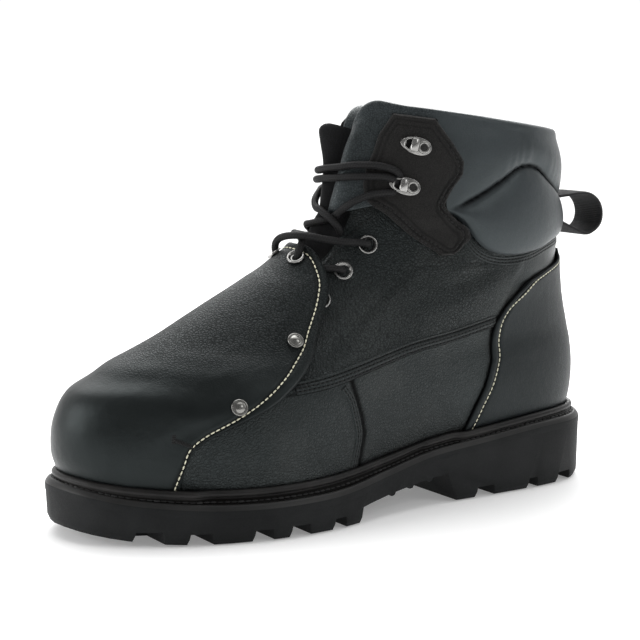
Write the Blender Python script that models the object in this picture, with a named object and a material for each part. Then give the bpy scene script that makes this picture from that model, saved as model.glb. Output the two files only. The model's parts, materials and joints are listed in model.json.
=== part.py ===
# Metatarsal guard boot for the left foot, as an assembly of separate pieces.
# The toe points to -Y, the wearer's outer side to +X and the floor is Z = 0.
# Tables are in millimetres. "s" runs from the back of the heel to the toe,
# "t" from the middle towards the outer side, "z" up from the floor.
import math

import bmesh
import bpy
import numpy as np
from mathutils import Matrix, Vector

# Driving sizes in millimetres
ORIGIN_S = 68.0            # the origin lies under the middle of the heel
WALL = 2.5                 # thickness of the upper
GAP = 0.35                 # air left between two pieces that meet
CURVE_GAP = 0.55           # the same under a curved overlay
MIDSOLE_THICK = 4.8
WELT_THICK = 2.2
WELT_INSET = 1.5
TREAD_DEEP = 5.5
TOE_SPRING = 7.0
GUARD_THIN = 1.9           # guard leather at the toe
GUARD_THICK = 4.1          # guard with its plate over the instep
GUARD_STAND = 0.80         # extra air under the guard above the welt
COUNTER_THICK = 1.6
STAY_THICK = 1.5
LACE_RADIUS = 1.9
THROAT_BASE = 8.2          # level where the throat begins
COLLAR_END_OUTER = 0.975   # where the collar pad ends, outer side
COLLAR_END_INNER = 0.905   # where the collar pad ends, inner side

# Outline of the sole: distance from the heel, outer half width, inner half width
OUTLINE_COLUMNS = ("s", "outer", "inner")
OUTLINE = (
    (0.0, 0.0, 0.0),
    (4.0, 16.5, 17.0),
    (12.0, 27.5, 28.0),
    (25.0, 35.7, 35.5),
    (45.0, 39.6, 38.0),
    (70.0, 41.0, 36.5),
    (90.0, 41.5, 34.0),
    (120.0, 42.0, 32.5),
    (150.0, 47.0, 36.0),
    (180.0, 55.0, 45.0),
    (200.0, 57.6, 51.0),
    (222.0, 56.8, 55.0),
    (245.0, 52.0, 55.5),
    (265.0, 44.5, 52.5),
    (282.0, 35.8, 46.5),
    (297.0, 24.5, 37.0),
    (307.0, 11.0, 25.0),
    (312.0, -8.0, 8.0),
)

# Height of the joint between outsole and midsole
RIM_COLUMNS = ("s", "z")
RIM = (
    (0.0, 31.0),
    (45.0, 30.5),
    (90.0, 26.5),
    (120.0, 23.5),
    (150.0, 18.5),
    (180.0, 14.6),
    (210.0, 13.4),
    (240.0, 13.6),
    (270.0, 15.6),
    (295.0, 19.0),
    (312.0, 23.0),
)

# Underside of the waist between heel breast and forefoot, with its three ribs
WAIST_COLUMNS = ("s", "z")
WAIST = (
    (103.0, -6.0),
    (104.0, 0.0),
    (111.0, 15.5),
    (121.0, 14.6),
    (122.0, 13.0),
    (124.0, 12.8),
    (125.0, 14.1),
    (134.0, 13.1),
    (135.0, 11.5),
    (137.0, 11.3),
    (138.0, 12.6),
    (147.0, 11.5),
    (148.0, 9.9),
    (150.0, 9.7),
    (151.0, 11.0),
    (165.0, 9.0),
    (170.5, 8.0),
    (172.0, 0.0),
    (173.0, -6.0),
)

# Gaps between the lugs along the edge: middle, width and how far they reach in
EDGE_GAP_COLUMNS = ("s", "width", "reach")
EDGE_GAPS = (
    (28.0, 11.0, 19.0),
    (52.5, 6.5, 19.0),
    (85.5, 11.5, 19.0),
    (186.0, 7.5, 22.0),
    (209.5, 10.5, 24.0),
    (229.0, 9.5, 24.0),
    (258.5, 10.5, 22.0),
    (280.5, 12.0, 18.0),
)

# Cross gaps in the middle of the tread: middle, width and half length
CENTRE_GAP_COLUMNS = ("s", "width", "half")
CENTRE_GAPS = (
    (40.0, 6.0, 15.0),
    (198.0, 6.0, 21.0),
    (219.5, 6.0, 23.0),
    (244.0, 7.0, 23.0),
    (270.0, 6.0, 20.0),
    (291.0, 5.0, 13.0),
)

# Rings of the upper from the feather line up to the collar. Each ring is a
# tilted oval: back point, front point, half widths, where it is widest, the
# roundness of its two ends, the depth of its waist, how far it follows the rim.
RING_COLUMNS = ("sb", "zb", "sf", "zf", "wo", "wi", "fo", "fi",
                "pb", "pf", "ao", "ai", "follow")
RINGS = (
    (9.0, 36.1, 303.0, 25.9, 48.5, 47.5, .64, .72, 3.2, 2.30, 13, 21, 1.00),
    (5.5, 48.0, 306.5, 42.0, 50.5, 46.0, .63, .70, 3.0, 2.40, 11, 18, 0.80),
    (4.0, 61.0, 305.0, 55.0, 50.5, 44.5, .62, .68, 2.8, 2.40, 9, 13, 0.50),
    (4.5, 73.0, 297.5, 66.2, 48.5, 41.5, .60, .64, 2.6, 2.30, 7, 7, 0.25),
    (6.5, 84.0, 283.5, 74.8, 45.5, 40.0, .57, .60, 2.4, 2.00, 5, 3, 0.10),
    (9.0, 94.0, 264.0, 84.3, 42.5, 39.3, .53, .55, 2.4, 1.70, 3, 1, 0.03),
    (11.0, 103.0, 240.5, 96.3, 40.0, 38.3, .50, .50, 2.4, 1.50, 1, 0, 0.00),
    (12.8, 112.0, 216.0, 108.8, 38.5, 37.0, .48, .48, 2.4, 1.45, 0, 0, 0.00),
    (13.8, 121.0, 193.0, 120.3, 37.6, 36.0, .47, .47, 2.4, 1.50, 0, 0, 0.00),
    (14.8, 131.0, 175.5, 132.4, 36.8, 35.3, .46, .46, 2.4, 1.60, 0, 0, 0.00),
    (15.8, 143.0, 164.0, 147.0, 35.8, 34.8, .46, .46, 2.4, 1.80, 0, 0, 0.00),
    (16.5, 158.0, 155.0, 166.0, 35.3, 34.3, .46, .46, 2.3, 1.90, 0, 0, 0.00),
    (17.8, 172.0, 148.0, 185.0, 35.5, 34.5, .46, .46, 2.2, 2.00, 0, 0, 0.00),
    (20.5, 187.0, 142.0, 204.0, 35.5, 34.5, .46, .46, 2.2, 2.00, 0, 0, 0.00),
)

# Swing of the toe towards the inner side
SWING_COLUMNS = ("s", "t")
SWING = (
    (0.0, 0.0),
    (150.0, 0.0),
    (200.0, 0.8),
    (235.0, -0.4),
    (265.0, -2.6),
    (290.0, -3.9),
    (312.0, -4.6),
)

# Lap seam of the quarter over the vamp, by the way around (0 back, 1 front)
SEAM_COLUMNS = ("around", "level")
SEAM = (
    (0.00, 5.20),
    (0.29, 4.80),
    (0.39, 4.35),
    (0.48, 4.05),
    (0.54, 3.65),
    (0.58, 3.40),
    (0.62, 3.22),
    (0.66, 3.15),
    (1.00, 3.15),
)

# Rear edge of the metatarsal guard
GUARD_COLUMNS = ("level", "around")
GUARD = (
    (0.10, .822),
    (0.60, .815),
    (1.20, .805),
    (1.80, .785),
    (2.20, .750),
    (2.70, .702),
    (3.30, .678),
    (4.00, .672),
    (4.70, .683),
    (5.60, .717),
    (6.40, .752),
    (7.30, .800),
    (7.95, .850),
    (8.50, .900),
    (8.90, .945),
    (9.05, .975),
)

# Front edge of the heel counter, with the narrow strap up the back
COUNTER_COLUMNS = ("level", "around")
COUNTER = (
    (0.10, .312),
    (0.60, .306),
    (1.20, .298),
    (2.00, .284),
    (3.10, .276),
    (4.00, .284),
    (5.00, .292),
    (5.80, .287),
    (6.50, .268),
    (7.10, .240),
    (7.60, .175),
    (7.95, .100),
    (8.20, .058),
    (8.45, .052),
)

# Lower edge of the collar pad
PAD_COLUMNS = ("around", "level")
PAD = (
    (0.00, 9.35),
    (0.10, 9.30),
    (0.19, 9.05),
    (0.26, 8.72),
    (0.33, 8.58),
    (0.40, 8.66),
    (0.48, 9.10),
    (0.54, 9.75),
    (0.60, 10.25),
    (0.70, 10.35),
    (0.84, 10.45),
    (0.90, 10.30),
    (1.00, 10.10),
)

# Height of the padding by the way around: thin under the hook stay
PUFF_COLUMNS = ("around", "height")
PUFF = (
    (0.00, 3.0),
    (0.15, 3.6),
    (0.30, 4.8),
    (0.40, 5.0),
    (0.52, 4.2),
    (0.60, 2.2),
    (0.66, 1.6),
    (0.84, 1.6),
    (0.90, 3.2),
    (0.95, 6.2),
    (1.00, 6.6),
)

# Sewn groove between the collar roll and the ankle pad
GROOVE_COLUMNS = ("around", "level")
GROOVE = (
    (0.00, 10.60),
    (0.12, 10.85),
    (0.22, 11.30),
    (0.32, 11.80),
    (0.38, 11.75),
    (0.46, 11.20),
    (0.54, 10.70),
    (0.60, 10.40),
)

# Hook stay: front and rear edge
STAY_COLUMNS = ("level", "front", "rear")
STAY = (
    (8.78, .590, .572),
    (9.00, .625, .565),
    (9.40, .688, .563),
    (9.80, .742, .580),
    (10.20, .800, .612),
    (10.50, .868, .640),
    (10.90, .890, .628),
    (11.40, .894, .602),
    (11.80, .885, .606),
    (12.30, .880, .652),
    (12.90, .850, .718),
)

# Tongue: half width by level, height of its bulge and middle of the bulge
TONGUE_COLUMNS = ("level", "half", "bulge", "middle", "base")
TONGUE = (
    (7.30, .090, 0.0, 1.000, -3.8),
    (8.10, .115, 0.0, 1.000, -3.8),
    (8.75, .130, 0.5, 1.000, -3.8),
    (9.20, .140, 4.5, 1.000, -3.8),
    (9.60, .145, 5.6, 1.000, -3.8),
    (10.20, .145, 5.2, 1.008, -3.8),
    (10.80, .140, 7.5, 1.025, -4.0),
    (11.50, .135, 12.0, 1.035, -4.8),
    (11.95, .130, 17.5, 1.038, -6.2),
    (12.30, .120, 20.5, 1.038, -6.4),
    (12.44, .105, 19.8, 1.038, -6.4),
)

# Metal pieces: the way around and the level of each one
EYELETS = ((.817, 9.24), (.825, 8.20), (.796, 7.02))
HOOKS = ((.767, 12.10), (.775, 10.98))
RIVETS = ((.742, 5.22), (.750, 2.81))
GUARD_EYELET = (.955, 8.45)

# Pull loop of webbing behind the collar, seen from the side, between the
# two levels where its ends lie against the pad
LOOP_TOP = 10.72
LOOP_LOW = 9.72
LOOP_COLUMNS = ("s", "z")
LOOP = (
    (0.0, 155.0),
    (-7.5, 154.4),
    (-13.5, 150.6),
    (-16.4, 144.4),
    (-15.4, 138.0),
    (-10.5, 133.8),
    (-3.5, 132.8),
)
LOOP_WIDE = 23.0
LOOP_THICK = 1.6


def pick(table, columns, name):
    """One named column of a table as an array."""
    return np.array([row[columns.index(name)] for row in table], dtype=float)


def smooth(x, y, at):
    """Smooth curve through the points (x, y), read at the places given."""
    at = np.clip(np.asarray(at, dtype=float), x[0], x[-1])
    slope = np.gradient(y, x)
    i = np.clip(np.searchsorted(x, at) - 1, 0, len(x) - 2)
    step = x[i + 1] - x[i]
    u = (at - x[i]) / step
    low = (2 * u**3 - 3 * u**2 + 1) * y[i] + (u**3 - 2 * u**2 + u) * step * slope[i]
    high = (3 * u**2 - 2 * u**3) * y[i + 1] + (u**3 - u**2) * step * slope[i + 1]
    return low + high


def read(table, columns, name, at):
    """A named column of a table, read between its rows."""
    return smooth(pick(table, columns, columns[0]), pick(table, columns, name), at)


def ramp(x, low, high):
    """0 below low, 1 above high, and smooth between."""
    u = np.clip((np.asarray(x, dtype=float) - low) / (high - low), 0.0, 1.0)
    return u * u * (3.0 - 2.0 * u)


def rim(s):
    """Height of the top of the outsole."""
    return read(RIM, RIM_COLUMNS, "z", s)


def floor_line(s):
    """Underside of the tread: flat, with a bevelled heel and a toe spring."""
    s = np.asarray(s, dtype=float)
    toe = TOE_SPRING * (np.clip(s - 252.0, 0.0, None) / 60.0) ** 2
    heel = 3.0 * (np.clip(9.0 - s, 0.0, None) / 9.0) ** 2
    return toe + heel


def ring_half(level, side):
    """Half of one ring of the upper, from its back to its front."""
    number = np.arange(len(RINGS), dtype=float)
    get = {name: float(smooth(number, pick(RINGS, RING_COLUMNS, name), level))
           for name in RING_COLUMNS}
    wide = get["wo"] if side > 0 else get["wi"]
    widest = get["fo"] if side > 0 else get["fi"]
    waist = get["ao"] if side > 0 else get["ai"]
    middle = 0.36 if side > 0 else 0.38
    f = (1.0 - np.cos(np.linspace(0.0, math.pi, 400))) / 2.0
    back = np.clip((widest - f) / widest, 0.0, 1.0) ** get["pb"]
    front = np.clip((f - widest) / (1.0 - widest), 0.0, 1.0) ** get["pf"]
    t = wide * np.sqrt(np.clip(1.0 - back - front, 0.0, 1.0))
    near = np.clip(np.abs(f - middle) / 0.34, 0.0, 1.0)
    t = t - waist * (1.0 - near * near) ** 2
    s = get["sb"] + (get["sf"] - get["sb"]) * f
    swing = read(SWING, SWING_COLUMNS, "t", s) * (1.0 - ramp(level, 3.0, 7.0))
    z = get["zb"] + (get["zf"] - get["zb"]) * f
    chord = rim(get["sb"]) + (rim(get["sf"]) - rim(get["sb"])) * f
    z = z + get["follow"] * (rim(s) - chord)
    return np.stack([s, side * t + swing, z], axis=-1)


def even_steps(points, count):
    """Points at equal steps along a line of points."""
    length = np.linalg.norm(np.diff(points, axis=0), axis=1)
    run = np.concatenate([[0.0], np.cumsum(length)])
    at = np.linspace(0.0, run[-1], count)
    return np.stack([np.interp(at, run, points[:, k]) for k in range(3)], axis=-1)


# The form of the last as a fine table: level by the way around, -1 to 1
TOP = len(RINGS) - 1
LEVEL_STEPS = 20
AROUND_STEPS = 240


def last_table():
    rows = []
    for k in range(TOP * LEVEL_STEPS + 1):
        level = k / LEVEL_STEPS
        outer = even_steps(ring_half(level, 1), AROUND_STEPS + 1)
        inner = even_steps(ring_half(level, -1), AROUND_STEPS + 1)
        rows.append(np.concatenate([inner[::-1], outer[1:]]))
    return np.array(rows)


LAST = last_table()


def on_last(around, level):
    """Point of the last; around is 0 at the back, 1 at the front, - inside."""
    around = np.asarray(around, dtype=float)
    around = (around + 1.0) % 2.0 - 1.0
    x = (around + 1.0) * AROUND_STEPS
    y = np.clip(np.asarray(level, dtype=float), 0.0, TOP) * LEVEL_STEPS
    x, y = np.broadcast_arrays(x, y)
    i = np.clip(x.astype(int), 0, 2 * AROUND_STEPS - 1)
    j = np.clip(y.astype(int), 0, TOP * LEVEL_STEPS - 1)
    u = (x - i)[..., None]
    v = (y - j)[..., None]
    low = LAST[j, i] * (1 - u) + LAST[j, i + 1] * u
    high = LAST[j + 1, i] * (1 - u) + LAST[j + 1, i + 1] * u
    return low * (1 - v) + high * v


def outward(around, level):
    """Outward direction of the last."""
    level = np.clip(np.asarray(level, dtype=float), 0.08, TOP - 0.08)
    along = on_last(np.asarray(around) + 0.012, level) - on_last(np.asarray(around) - 0.012, level)
    up = on_last(around, level + 0.08) - on_last(around, level - 0.08)
    normal = np.cross(up, along)
    return normal / np.linalg.norm(normal, axis=-1, keepdims=True)


def skin(around, level, offset=0.0):
    """Point at a distance outside the last."""
    around, level, offset = np.broadcast_arrays(around, level, offset)
    return on_last(around, level) + outward(around, level) * offset[..., None]


def world(points):
    """From s, t, z in millimetres to X, Y, Z in metres."""
    points = np.asarray(points, dtype=float)
    s, t, z = points[..., 0], points[..., 1], points[..., 2]
    return np.stack([t, ORIGIN_S - s, z], axis=-1) * 0.001


def material(name, colour, roughness, metallic=0.0):
    made = bpy.data.materials.new(name)
    made.use_nodes = True
    node = made.node_tree.nodes["Principled BSDF"]
    node.inputs["Base Color"].default_value = (*colour, 1.0)
    node.inputs["Roughness"].default_value = roughness
    node.inputs["Metallic"].default_value = metallic
    made.diffuse_color = (*colour, 1.0)
    return made


def add_object(name, mesh, finish, sharp=35.0):
    """Closed mesh to a named object, with faces out and round parts smooth."""
    shape = bmesh.new()
    shape.from_mesh(mesh)
    bmesh.ops.remove_doubles(shape, verts=shape.verts, dist=0.00001)
    bmesh.ops.recalc_face_normals(shape, faces=shape.faces)
    shape.to_mesh(mesh)
    shape.free()
    mesh.shade_smooth()
    mesh.set_sharp_from_angle(angle=math.radians(sharp))
    mesh.materials.append(finish)
    made = bpy.data.objects.new(name, mesh)
    bpy.context.collection.objects.link(made)
    return made


def mesh_of(name, points, faces):
    mesh = bpy.data.meshes.new(name)
    mesh.from_pydata([tuple(p) for p in points], [], faces)
    return mesh


def shell(name, outside, inside, finish, keep=None, wrap=False):
    """Solid between two grids; keep says which cells of the grid are there."""
    rows, cols = outside.shape[:2]
    cells = cols if wrap else cols - 1
    if keep is None:
        keep = np.ones((rows - 1, cells), dtype=bool)
    half = rows * cols
    points = world(np.concatenate([outside.reshape(-1, 3), inside.reshape(-1, 3)]))

    def at(j, i, layer):
        return layer * half + j * cols + i % cols

    def there(j, i):
        if wrap:
            i = i % cells
        if j < 0 or j >= rows - 1 or i < 0 or i >= cells:
            return False
        return keep[j, i]

    faces = []
    for j in range(rows - 1):
        for i in range(cells):
            if not keep[j, i]:
                continue
            faces.append((at(j, i, 0), at(j, i + 1, 0), at(j + 1, i + 1, 0), at(j + 1, i, 0)))
            faces.append((at(j, i, 1), at(j + 1, i, 1), at(j + 1, i + 1, 1), at(j, i + 1, 1)))
            for near, p, q in (((j - 1, i), (j, i), (j, i + 1)),
                               ((j + 1, i), (j + 1, i + 1), (j + 1, i)),
                               ((j, i - 1), (j + 1, i), (j, i)),
                               ((j, i + 1), (j, i + 1), (j + 1, i + 1))):
                if not there(*near):
                    faces.append((at(*p, 1), at(*q, 1), at(*q, 0), at(*p, 0)))
    used = sorted({index for face in faces for index in face})
    number = {index: k for k, index in enumerate(used)}
    faces = [tuple(number[index] for index in face) for face in faces]
    return add_object(name, mesh_of(name, points[used], faces), finish)


def swept(name, sections, finish, closed=True, sharp=35.0):
    """Solid through closed sections, one per column, capped where it ends."""
    count, size = sections.shape[:2]
    points = world(sections.reshape(-1, 3))
    faces = []
    for k in range(count if closed else count - 1):
        a, b = k * size, ((k + 1) % count) * size
        for i in range(size):
            n = (i + 1) % size
            faces.append((a + i, a + n, b + n, b + i))
    if not closed:
        faces.append(tuple(range(size)))
        faces.append(tuple(reversed(range((count - 1) * size, count * size))))
    return add_object(name, mesh_of(name, points, faces), finish, sharp)


def boolean(target, cutter, kind="DIFFERENCE"):
    """Boolean with a cutter that stays hidden."""
    step = target.modifiers.new(cutter.name, "BOOLEAN")
    step.operation = kind
    step.solver = "EXACT"
    step.object = cutter
    cutter.hide_render = True
    cutter.display_type = "WIRE"


def sole_outline(inset=0.0, parts=2):
    """Both edges of the sole at the same stations: rows of s, outer t, inner t."""
    s = pick(OUTLINE, OUTLINE_COLUMNS, "s")
    outer = pick(OUTLINE, OUTLINE_COLUMNS, "outer")
    inner = -pick(OUTLINE, OUTLINE_COLUMNS, "inner")
    count = len(s)
    loop_s = np.concatenate([s, s[-2:0:-1]])
    loop_t = np.concatenate([outer, inner[-2:0:-1]])
    n = len(loop_s)
    at = np.arange(0, n * parts) / parts
    i = at.astype(int)
    u = at - i

    def through(values):
        p0, p1, p2, p3 = (values[(i + k) % n] for k in (-1, 0, 1, 2))
        return 0.5 * (2 * p1 + (p2 - p0) * u + (2 * p0 - 5 * p1 + 4 * p2 - p3) * u * u
                      + (3 * p1 - p0 - 3 * p2 + p3) * u**3)

    ring = np.stack([through(loop_s), through(loop_t)], axis=-1)
    along = np.roll(ring, -1, axis=0) - np.roll(ring, 1, axis=0)
    normal = np.stack([-along[:, 1], along[:, 0]], axis=-1)
    normal = normal / np.linalg.norm(normal, axis=1, keepdims=True)
    ring = ring - normal * inset
    half = (count - 1) * parts
    return ring, half


def slab(name, layers, finish):
    """Solid through outlines of the sole: each layer is an inset and a height."""
    rings = []
    half = 0
    for inset, height in layers:
        ring, half = sole_outline(inset)
        rings.append(np.column_stack([ring, height(ring[:, 0])]))
    count = len(rings[0])
    points = world(np.concatenate(rings))
    faces = []
    for k in range(len(rings) - 1):
        for i in range(count):
            n = (i + 1) % count
            faces.append((k * count + i, k * count + n, (k + 1) * count + n, (k + 1) * count + i))
    for base in (0, (len(rings) - 1) * count):
        for i in range(half):
            a, b = base + i, base + i + 1
            c, d = base + (count - i - 1) % count, base + (count - i) % count
            faces.append(tuple(dict.fromkeys((a, b, c, d))))
    return add_object(name, mesh_of(name, points, faces), finish)


def bars(name, boxes, finish):
    """Several separate tapered bars in one mesh, each from eight corners."""
    points = []
    faces = []
    for box in boxes:
        k = len(points)
        points.extend(box)
        for face in ((0, 1, 2, 3), (7, 6, 5, 4), (0, 4, 5, 1), (1, 5, 6, 2), (2, 6, 7, 3), (3, 7, 4, 0)):
            faces.append(tuple(k + i for i in face))
    return add_object(name, mesh_of(name, world(points), faces), finish)


def gap_box(s, wide, t_from, t_to):
    """Tapered bar that cuts one gap between lugs, wider at the floor."""
    low, high = -3.0, float(floor_line(s)) + TREAD_DEEP
    wb, wt = wide / 2 + 1.4, wide / 2 - 0.4
    return [(s - wb, t_from, low), (s + wb, t_from, low), (s + wb, t_to, low), (s - wb, t_to, low),
            (s - wt, t_from, high), (s + wt, t_from, high), (s + wt, t_to, high), (s - wt, t_to, high)]


def half_width(s, side):
    return float(read(OUTLINE, OUTLINE_COLUMNS, "outer" if side > 0 else "inner", s)) * side


def place(around, level, offset):
    """Matrix with its Z axis out of the boot and its X axis towards the throat."""
    here = Vector(world(skin(around, level, offset)))
    out = Vector(world(outward(around, level)) - world(np.zeros(3))).normalized()
    ahead = Vector(world(on_last(around + math.copysign(0.01, around), level)
                         - on_last(around - math.copysign(0.01, around), level))
                   - world(np.zeros(3)))
    ahead = (ahead - out * ahead.dot(out)).normalized()
    side = out.cross(ahead)
    made = Matrix((ahead, side, out)).transposed().to_4x4()
    made.translation = here
    return made


def turned(name, profile, finish, where, sides=9):
    """Piece turned about its own Z axis from a closed profile (radius, height)."""
    shape = bmesh.new()
    rings = []
    for radius, height in profile:
        if radius < 1e-6:
            rings.append([shape.verts.new((0.0, 0.0, height * 0.001))])
            continue
        ring = []
        for k in range(sides):
            angle = 2 * math.pi * k / sides
            ring.append(shape.verts.new((radius * math.cos(angle) * 0.001,
                                         radius * math.sin(angle) * 0.001, height * 0.001)))
        rings.append(ring)
    for low, high in zip(rings, rings[1:] + rings[:1]):
        if len(low) == 1 and len(high) == 1:
            continue
        for k in range(sides):
            n = (k + 1) % sides
            corners = [low[k % len(low)], low[n % len(low)], high[n % len(high)], high[k % len(high)]]
            shape.faces.new(list(dict.fromkeys(corners)))
    mesh = bpy.data.meshes.new(name)
    shape.to_mesh(mesh)
    shape.free()
    made = add_object(name, mesh, finish, 40.0)
    made.matrix_world = where
    return made


def tube(name, points, radius, finish, sides=6):
    """Round tube along points in s, t, z, closed at both ends."""
    points = np.asarray(points, dtype=float)
    along = np.gradient(points, axis=0)
    along = along / np.linalg.norm(along, axis=1, keepdims=True)
    side = np.cross(along, np.array([0.0, 0.0, 1.0]))
    side = side / np.linalg.norm(side, axis=1, keepdims=True)
    up = np.cross(side, along)
    angle = np.arange(sides) * 2 * math.pi / sides
    rings = (points[:, None, :] + radius * (np.cos(angle)[None, :, None] * side[:, None, :]
                                            + np.sin(angle)[None, :, None] * up[:, None, :]))
    return swept(name, rings, finish, closed=False, sharp=60.0)


for leftover in list(bpy.data.objects):
    bpy.data.objects.remove(leftover, do_unlink=True)

rubber = material("sole_rubber", (0.022, 0.022, 0.023), 0.62)
edge_rubber = material("midsole_rubber", (0.035, 0.035, 0.036), 0.50)
welt_leather = material("welt_leather", (0.020, 0.019, 0.018), 0.55)
leather = material("upper_leather", (0.018, 0.018, 0.019), 0.42)
smooth_leather = material("guard_leather", (0.018, 0.018, 0.019), 0.33)
counter_leather = material("counter_leather", (0.018, 0.018, 0.019), 0.36)
pad_leather = material("collar_leather", (0.024, 0.025, 0.028), 0.38)
nubuck = material("stay_nubuck", (0.020, 0.020, 0.022), 0.80)
cloth = material("tongue_cloth", (0.020, 0.021, 0.024), 0.85)
foam = material("insole_foam", (0.060, 0.060, 0.062), 0.90)
webbing = material("loop_webbing", (0.090, 0.095, 0.100), 0.85)
cord = material("lace_cord", (0.012, 0.012, 0.013), 0.75)
nickel = material("nickel", (0.62, 0.62, 0.63), 0.25, 1.0)
hidden = material("cutter", (0.5, 0.5, 0.5), 0.5)

# Outsole: one block from tread to rim, then the waist and the gaps are cut
outsole = slab("outsole", (
    (2.0, floor_line),
    (0.6, lambda s: floor_line(s) + 3.0),
    (0.0, rim),
), rubber)

waist_line = [(s, z) for s, z in WAIST]
waist_sections = np.array([[(s, t, z) for s, z in waist_line] for t in (-80.0, 80.0)])
waist_cutter = swept("waist_cutter", waist_sections, hidden, closed=False)
boolean(outsole, waist_cutter)

gaps = []
for s, wide, reach in EDGE_GAPS:
    for side in (1, -1):
        edge = half_width(s, side)
        gaps.append(gap_box(s, wide, edge - side * reach, edge + side * 12.0))
for s, wide, half in CENTRE_GAPS:
    middle = (half_width(s, 1) + half_width(s, -1)) / 2
    gaps.append(gap_box(s, wide, middle - half, middle + half))
tread_cutter = bars("tread_cutter", gaps, hidden)
boolean(outsole, tread_cutter)

# Midsole: the band on top of the outsole, with a bevelled upper edge
midsole = slab("midsole", (
    (0.3, lambda s: rim(s) + GAP),
    (0.3, lambda s: rim(s) + 3.6),
    (1.5, lambda s: rim(s) + MIDSOLE_THICK),
), edge_rubber)


def cover(around):
    """Thickness of the piece over the upper beside the welt."""
    around = np.abs(around)
    guard = (GUARD_THIN + CURVE_GAP) * ramp(around, 0.785, 0.812)
    counter = (COUNTER_THICK + CURVE_GAP) * (1.0 - ramp(around, 0.315, 0.345))
    return guard + counter


def reach_outline(start, direction, inset):
    """Plan point where a line from the upper meets the outline of the sole."""
    ring, _ = sole_outline(inset)
    best = None
    for a, b in zip(ring, np.roll(ring, -1, axis=0)):
        edge = b - a
        area = direction[0] * edge[1] - direction[1] * edge[0]
        if abs(area) < 1e-9:
            continue
        d = a - start
        far = (d[0] * edge[1] - d[1] * edge[0]) / area
        along = (d[0] * direction[1] - d[1] * direction[0]) / area
        if far > 0 and -1e-6 <= along <= 1 + 1e-6 and (best is None or far < best):
            best = far
    return start + direction * best


# Welt: a flat strip on the midsole with a round bead beside the upper
WELT_AROUND = 64
sections = []
for k in range(WELT_AROUND):
    around = -1.0 + 2.0 * k / WELT_AROUND
    near = float(cover(around)) + CURVE_GAP + 0.15
    foot = skin(around, 0.0, near)
    flat = outward(around, 0.0)[:2]
    flat = flat / np.linalg.norm(flat)
    edge = reach_outline(foot[:2], flat, WELT_INSET)
    base = float(rim(foot[0])) + MIDSOLE_THICK + GAP
    edge_base = float(rim(edge[0])) + MIDSOLE_THICK + GAP
    profile = [
        (foot[0], foot[1], base),
        tuple(skin(around, 0.25, near)),
        tuple(skin(around, 0.44, near)),
        tuple(skin(around, 0.47, near + 1.3)),
        tuple(skin(around, 0.38, near + 2.7)),
        tuple(skin(around, 0.22, near + 3.0)),
    ]
    bead = profile[-1]
    profile.append((bead[0] * 0.8 + edge[0] * 0.2, bead[1] * 0.8 + edge[1] * 0.2,
                    (base + WELT_THICK) * 0.8 + (edge_base + WELT_THICK) * 0.2))
    profile.append((edge[0], edge[1], edge_base + WELT_THICK))
    profile.append((edge[0], edge[1], edge_base))
    sections.append(profile)
welt = swept("welt", np.array(sections), welt_leather)

# Insole: a thin bed inside the upper on the midsole
around = np.linspace(-1.0, 1.0, 49)[:-1]
plan = skin(around, 0.20, -WALL - 1.7)
low = np.column_stack([plan[:, :2], rim(plan[:, 0]) + MIDSOLE_THICK + GAP])
high = np.column_stack([plan[:, :2], rim(plan[:, 0]) + MIDSOLE_THICK + GAP + 3.0])
count = len(around)
faces = [(i, (i + 1) % count, count + (i + 1) % count, count + i) for i in range(count)]
for i in range(count // 2):
    for base in (0, count):
        a, b = base + i, base + i + 1
        c, d = base + (count - i - 1) % count, base + (count - i) % count
        faces.append(tuple(dict.fromkeys((a, b, c, d))))
insole = add_object("insole", mesh_of("insole", world(np.concatenate([low, high])), faces), foam)

# Upper: one hollow wall, open below, at the throat and at the collar
BACK_COLUMNS = 36
FRONT_COLUMNS = 8
LOW_ROWS = (0.0, .14, .30, .46, .62, .80, .985)
HIGH_ROWS = (0.03, .22, .42, .61, .80)
TOP_ROWS = (THROAT_BASE, 8.7, 9.3, 10.0, 10.7, 11.4, 12.1, 12.7)


def throat_edge(level, side):
    """Way around of the throat's edge on one side."""
    low = 0.912 - 0.004 * (level - THROAT_BASE)
    high = 0.950 if side > 0 else 0.900
    mix = ramp(level, 10.2, 10.6)
    return low * (1 - mix) + high * mix


def upper_grid():
    rows = []
    for part, group in enumerate((LOW_ROWS, HIGH_ROWS, TOP_ROWS)):
        for value in group:
            rows.append((part, value))
    around = []
    level = []
    for part, value in rows:
        at = value if part == 2 else THROAT_BASE
        outer = float(throat_edge(max(at, THROAT_BASE), 1))
        inner = float(throat_edge(max(at, THROAT_BASE), -1))
        back = np.linspace(-inner, outer, BACK_COLUMNS + 1)
        front = np.linspace(outer, 2.0 - inner, FRONT_COLUMNS + 1)[1:-1]
        line = np.concatenate([back, front])
        seam = read(SEAM, SEAM_COLUMNS, "level", np.abs((line + 1) % 2 - 1))
        if part == 0:
            level.append(0.03 + (seam - 0.03) * value)
        elif part == 1:
            level.append(seam + (THROAT_BASE - seam) * value)
        else:
            level.append(np.full_like(line, value))
        around.append(line)
    return np.array(around), np.array(level), len(LOW_ROWS), len(LOW_ROWS) + len(HIGH_ROWS)


around, level, seam_row, throat_row = upper_grid()
folded = np.abs((around + 1) % 2 - 1)
step = 1.0 * ramp(folded, 0.33, 0.37) * (1.0 - ramp(folded, 0.61, 0.65))
lap = np.zeros_like(around)
lap[seam_row:throat_row] = step[seam_row:throat_row]
lap[throat_row:] = step[throat_row:] * (1.0 - ramp(level[throat_row:], 8.0, 8.4))
keep = np.ones((around.shape[0] - 1, around.shape[1]), dtype=bool)
keep[throat_row:, BACK_COLUMNS:] = False
upper = shell("upper", skin(around, level, lap), skin(around, level, -WALL), leather, keep, wrap=True)

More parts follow.
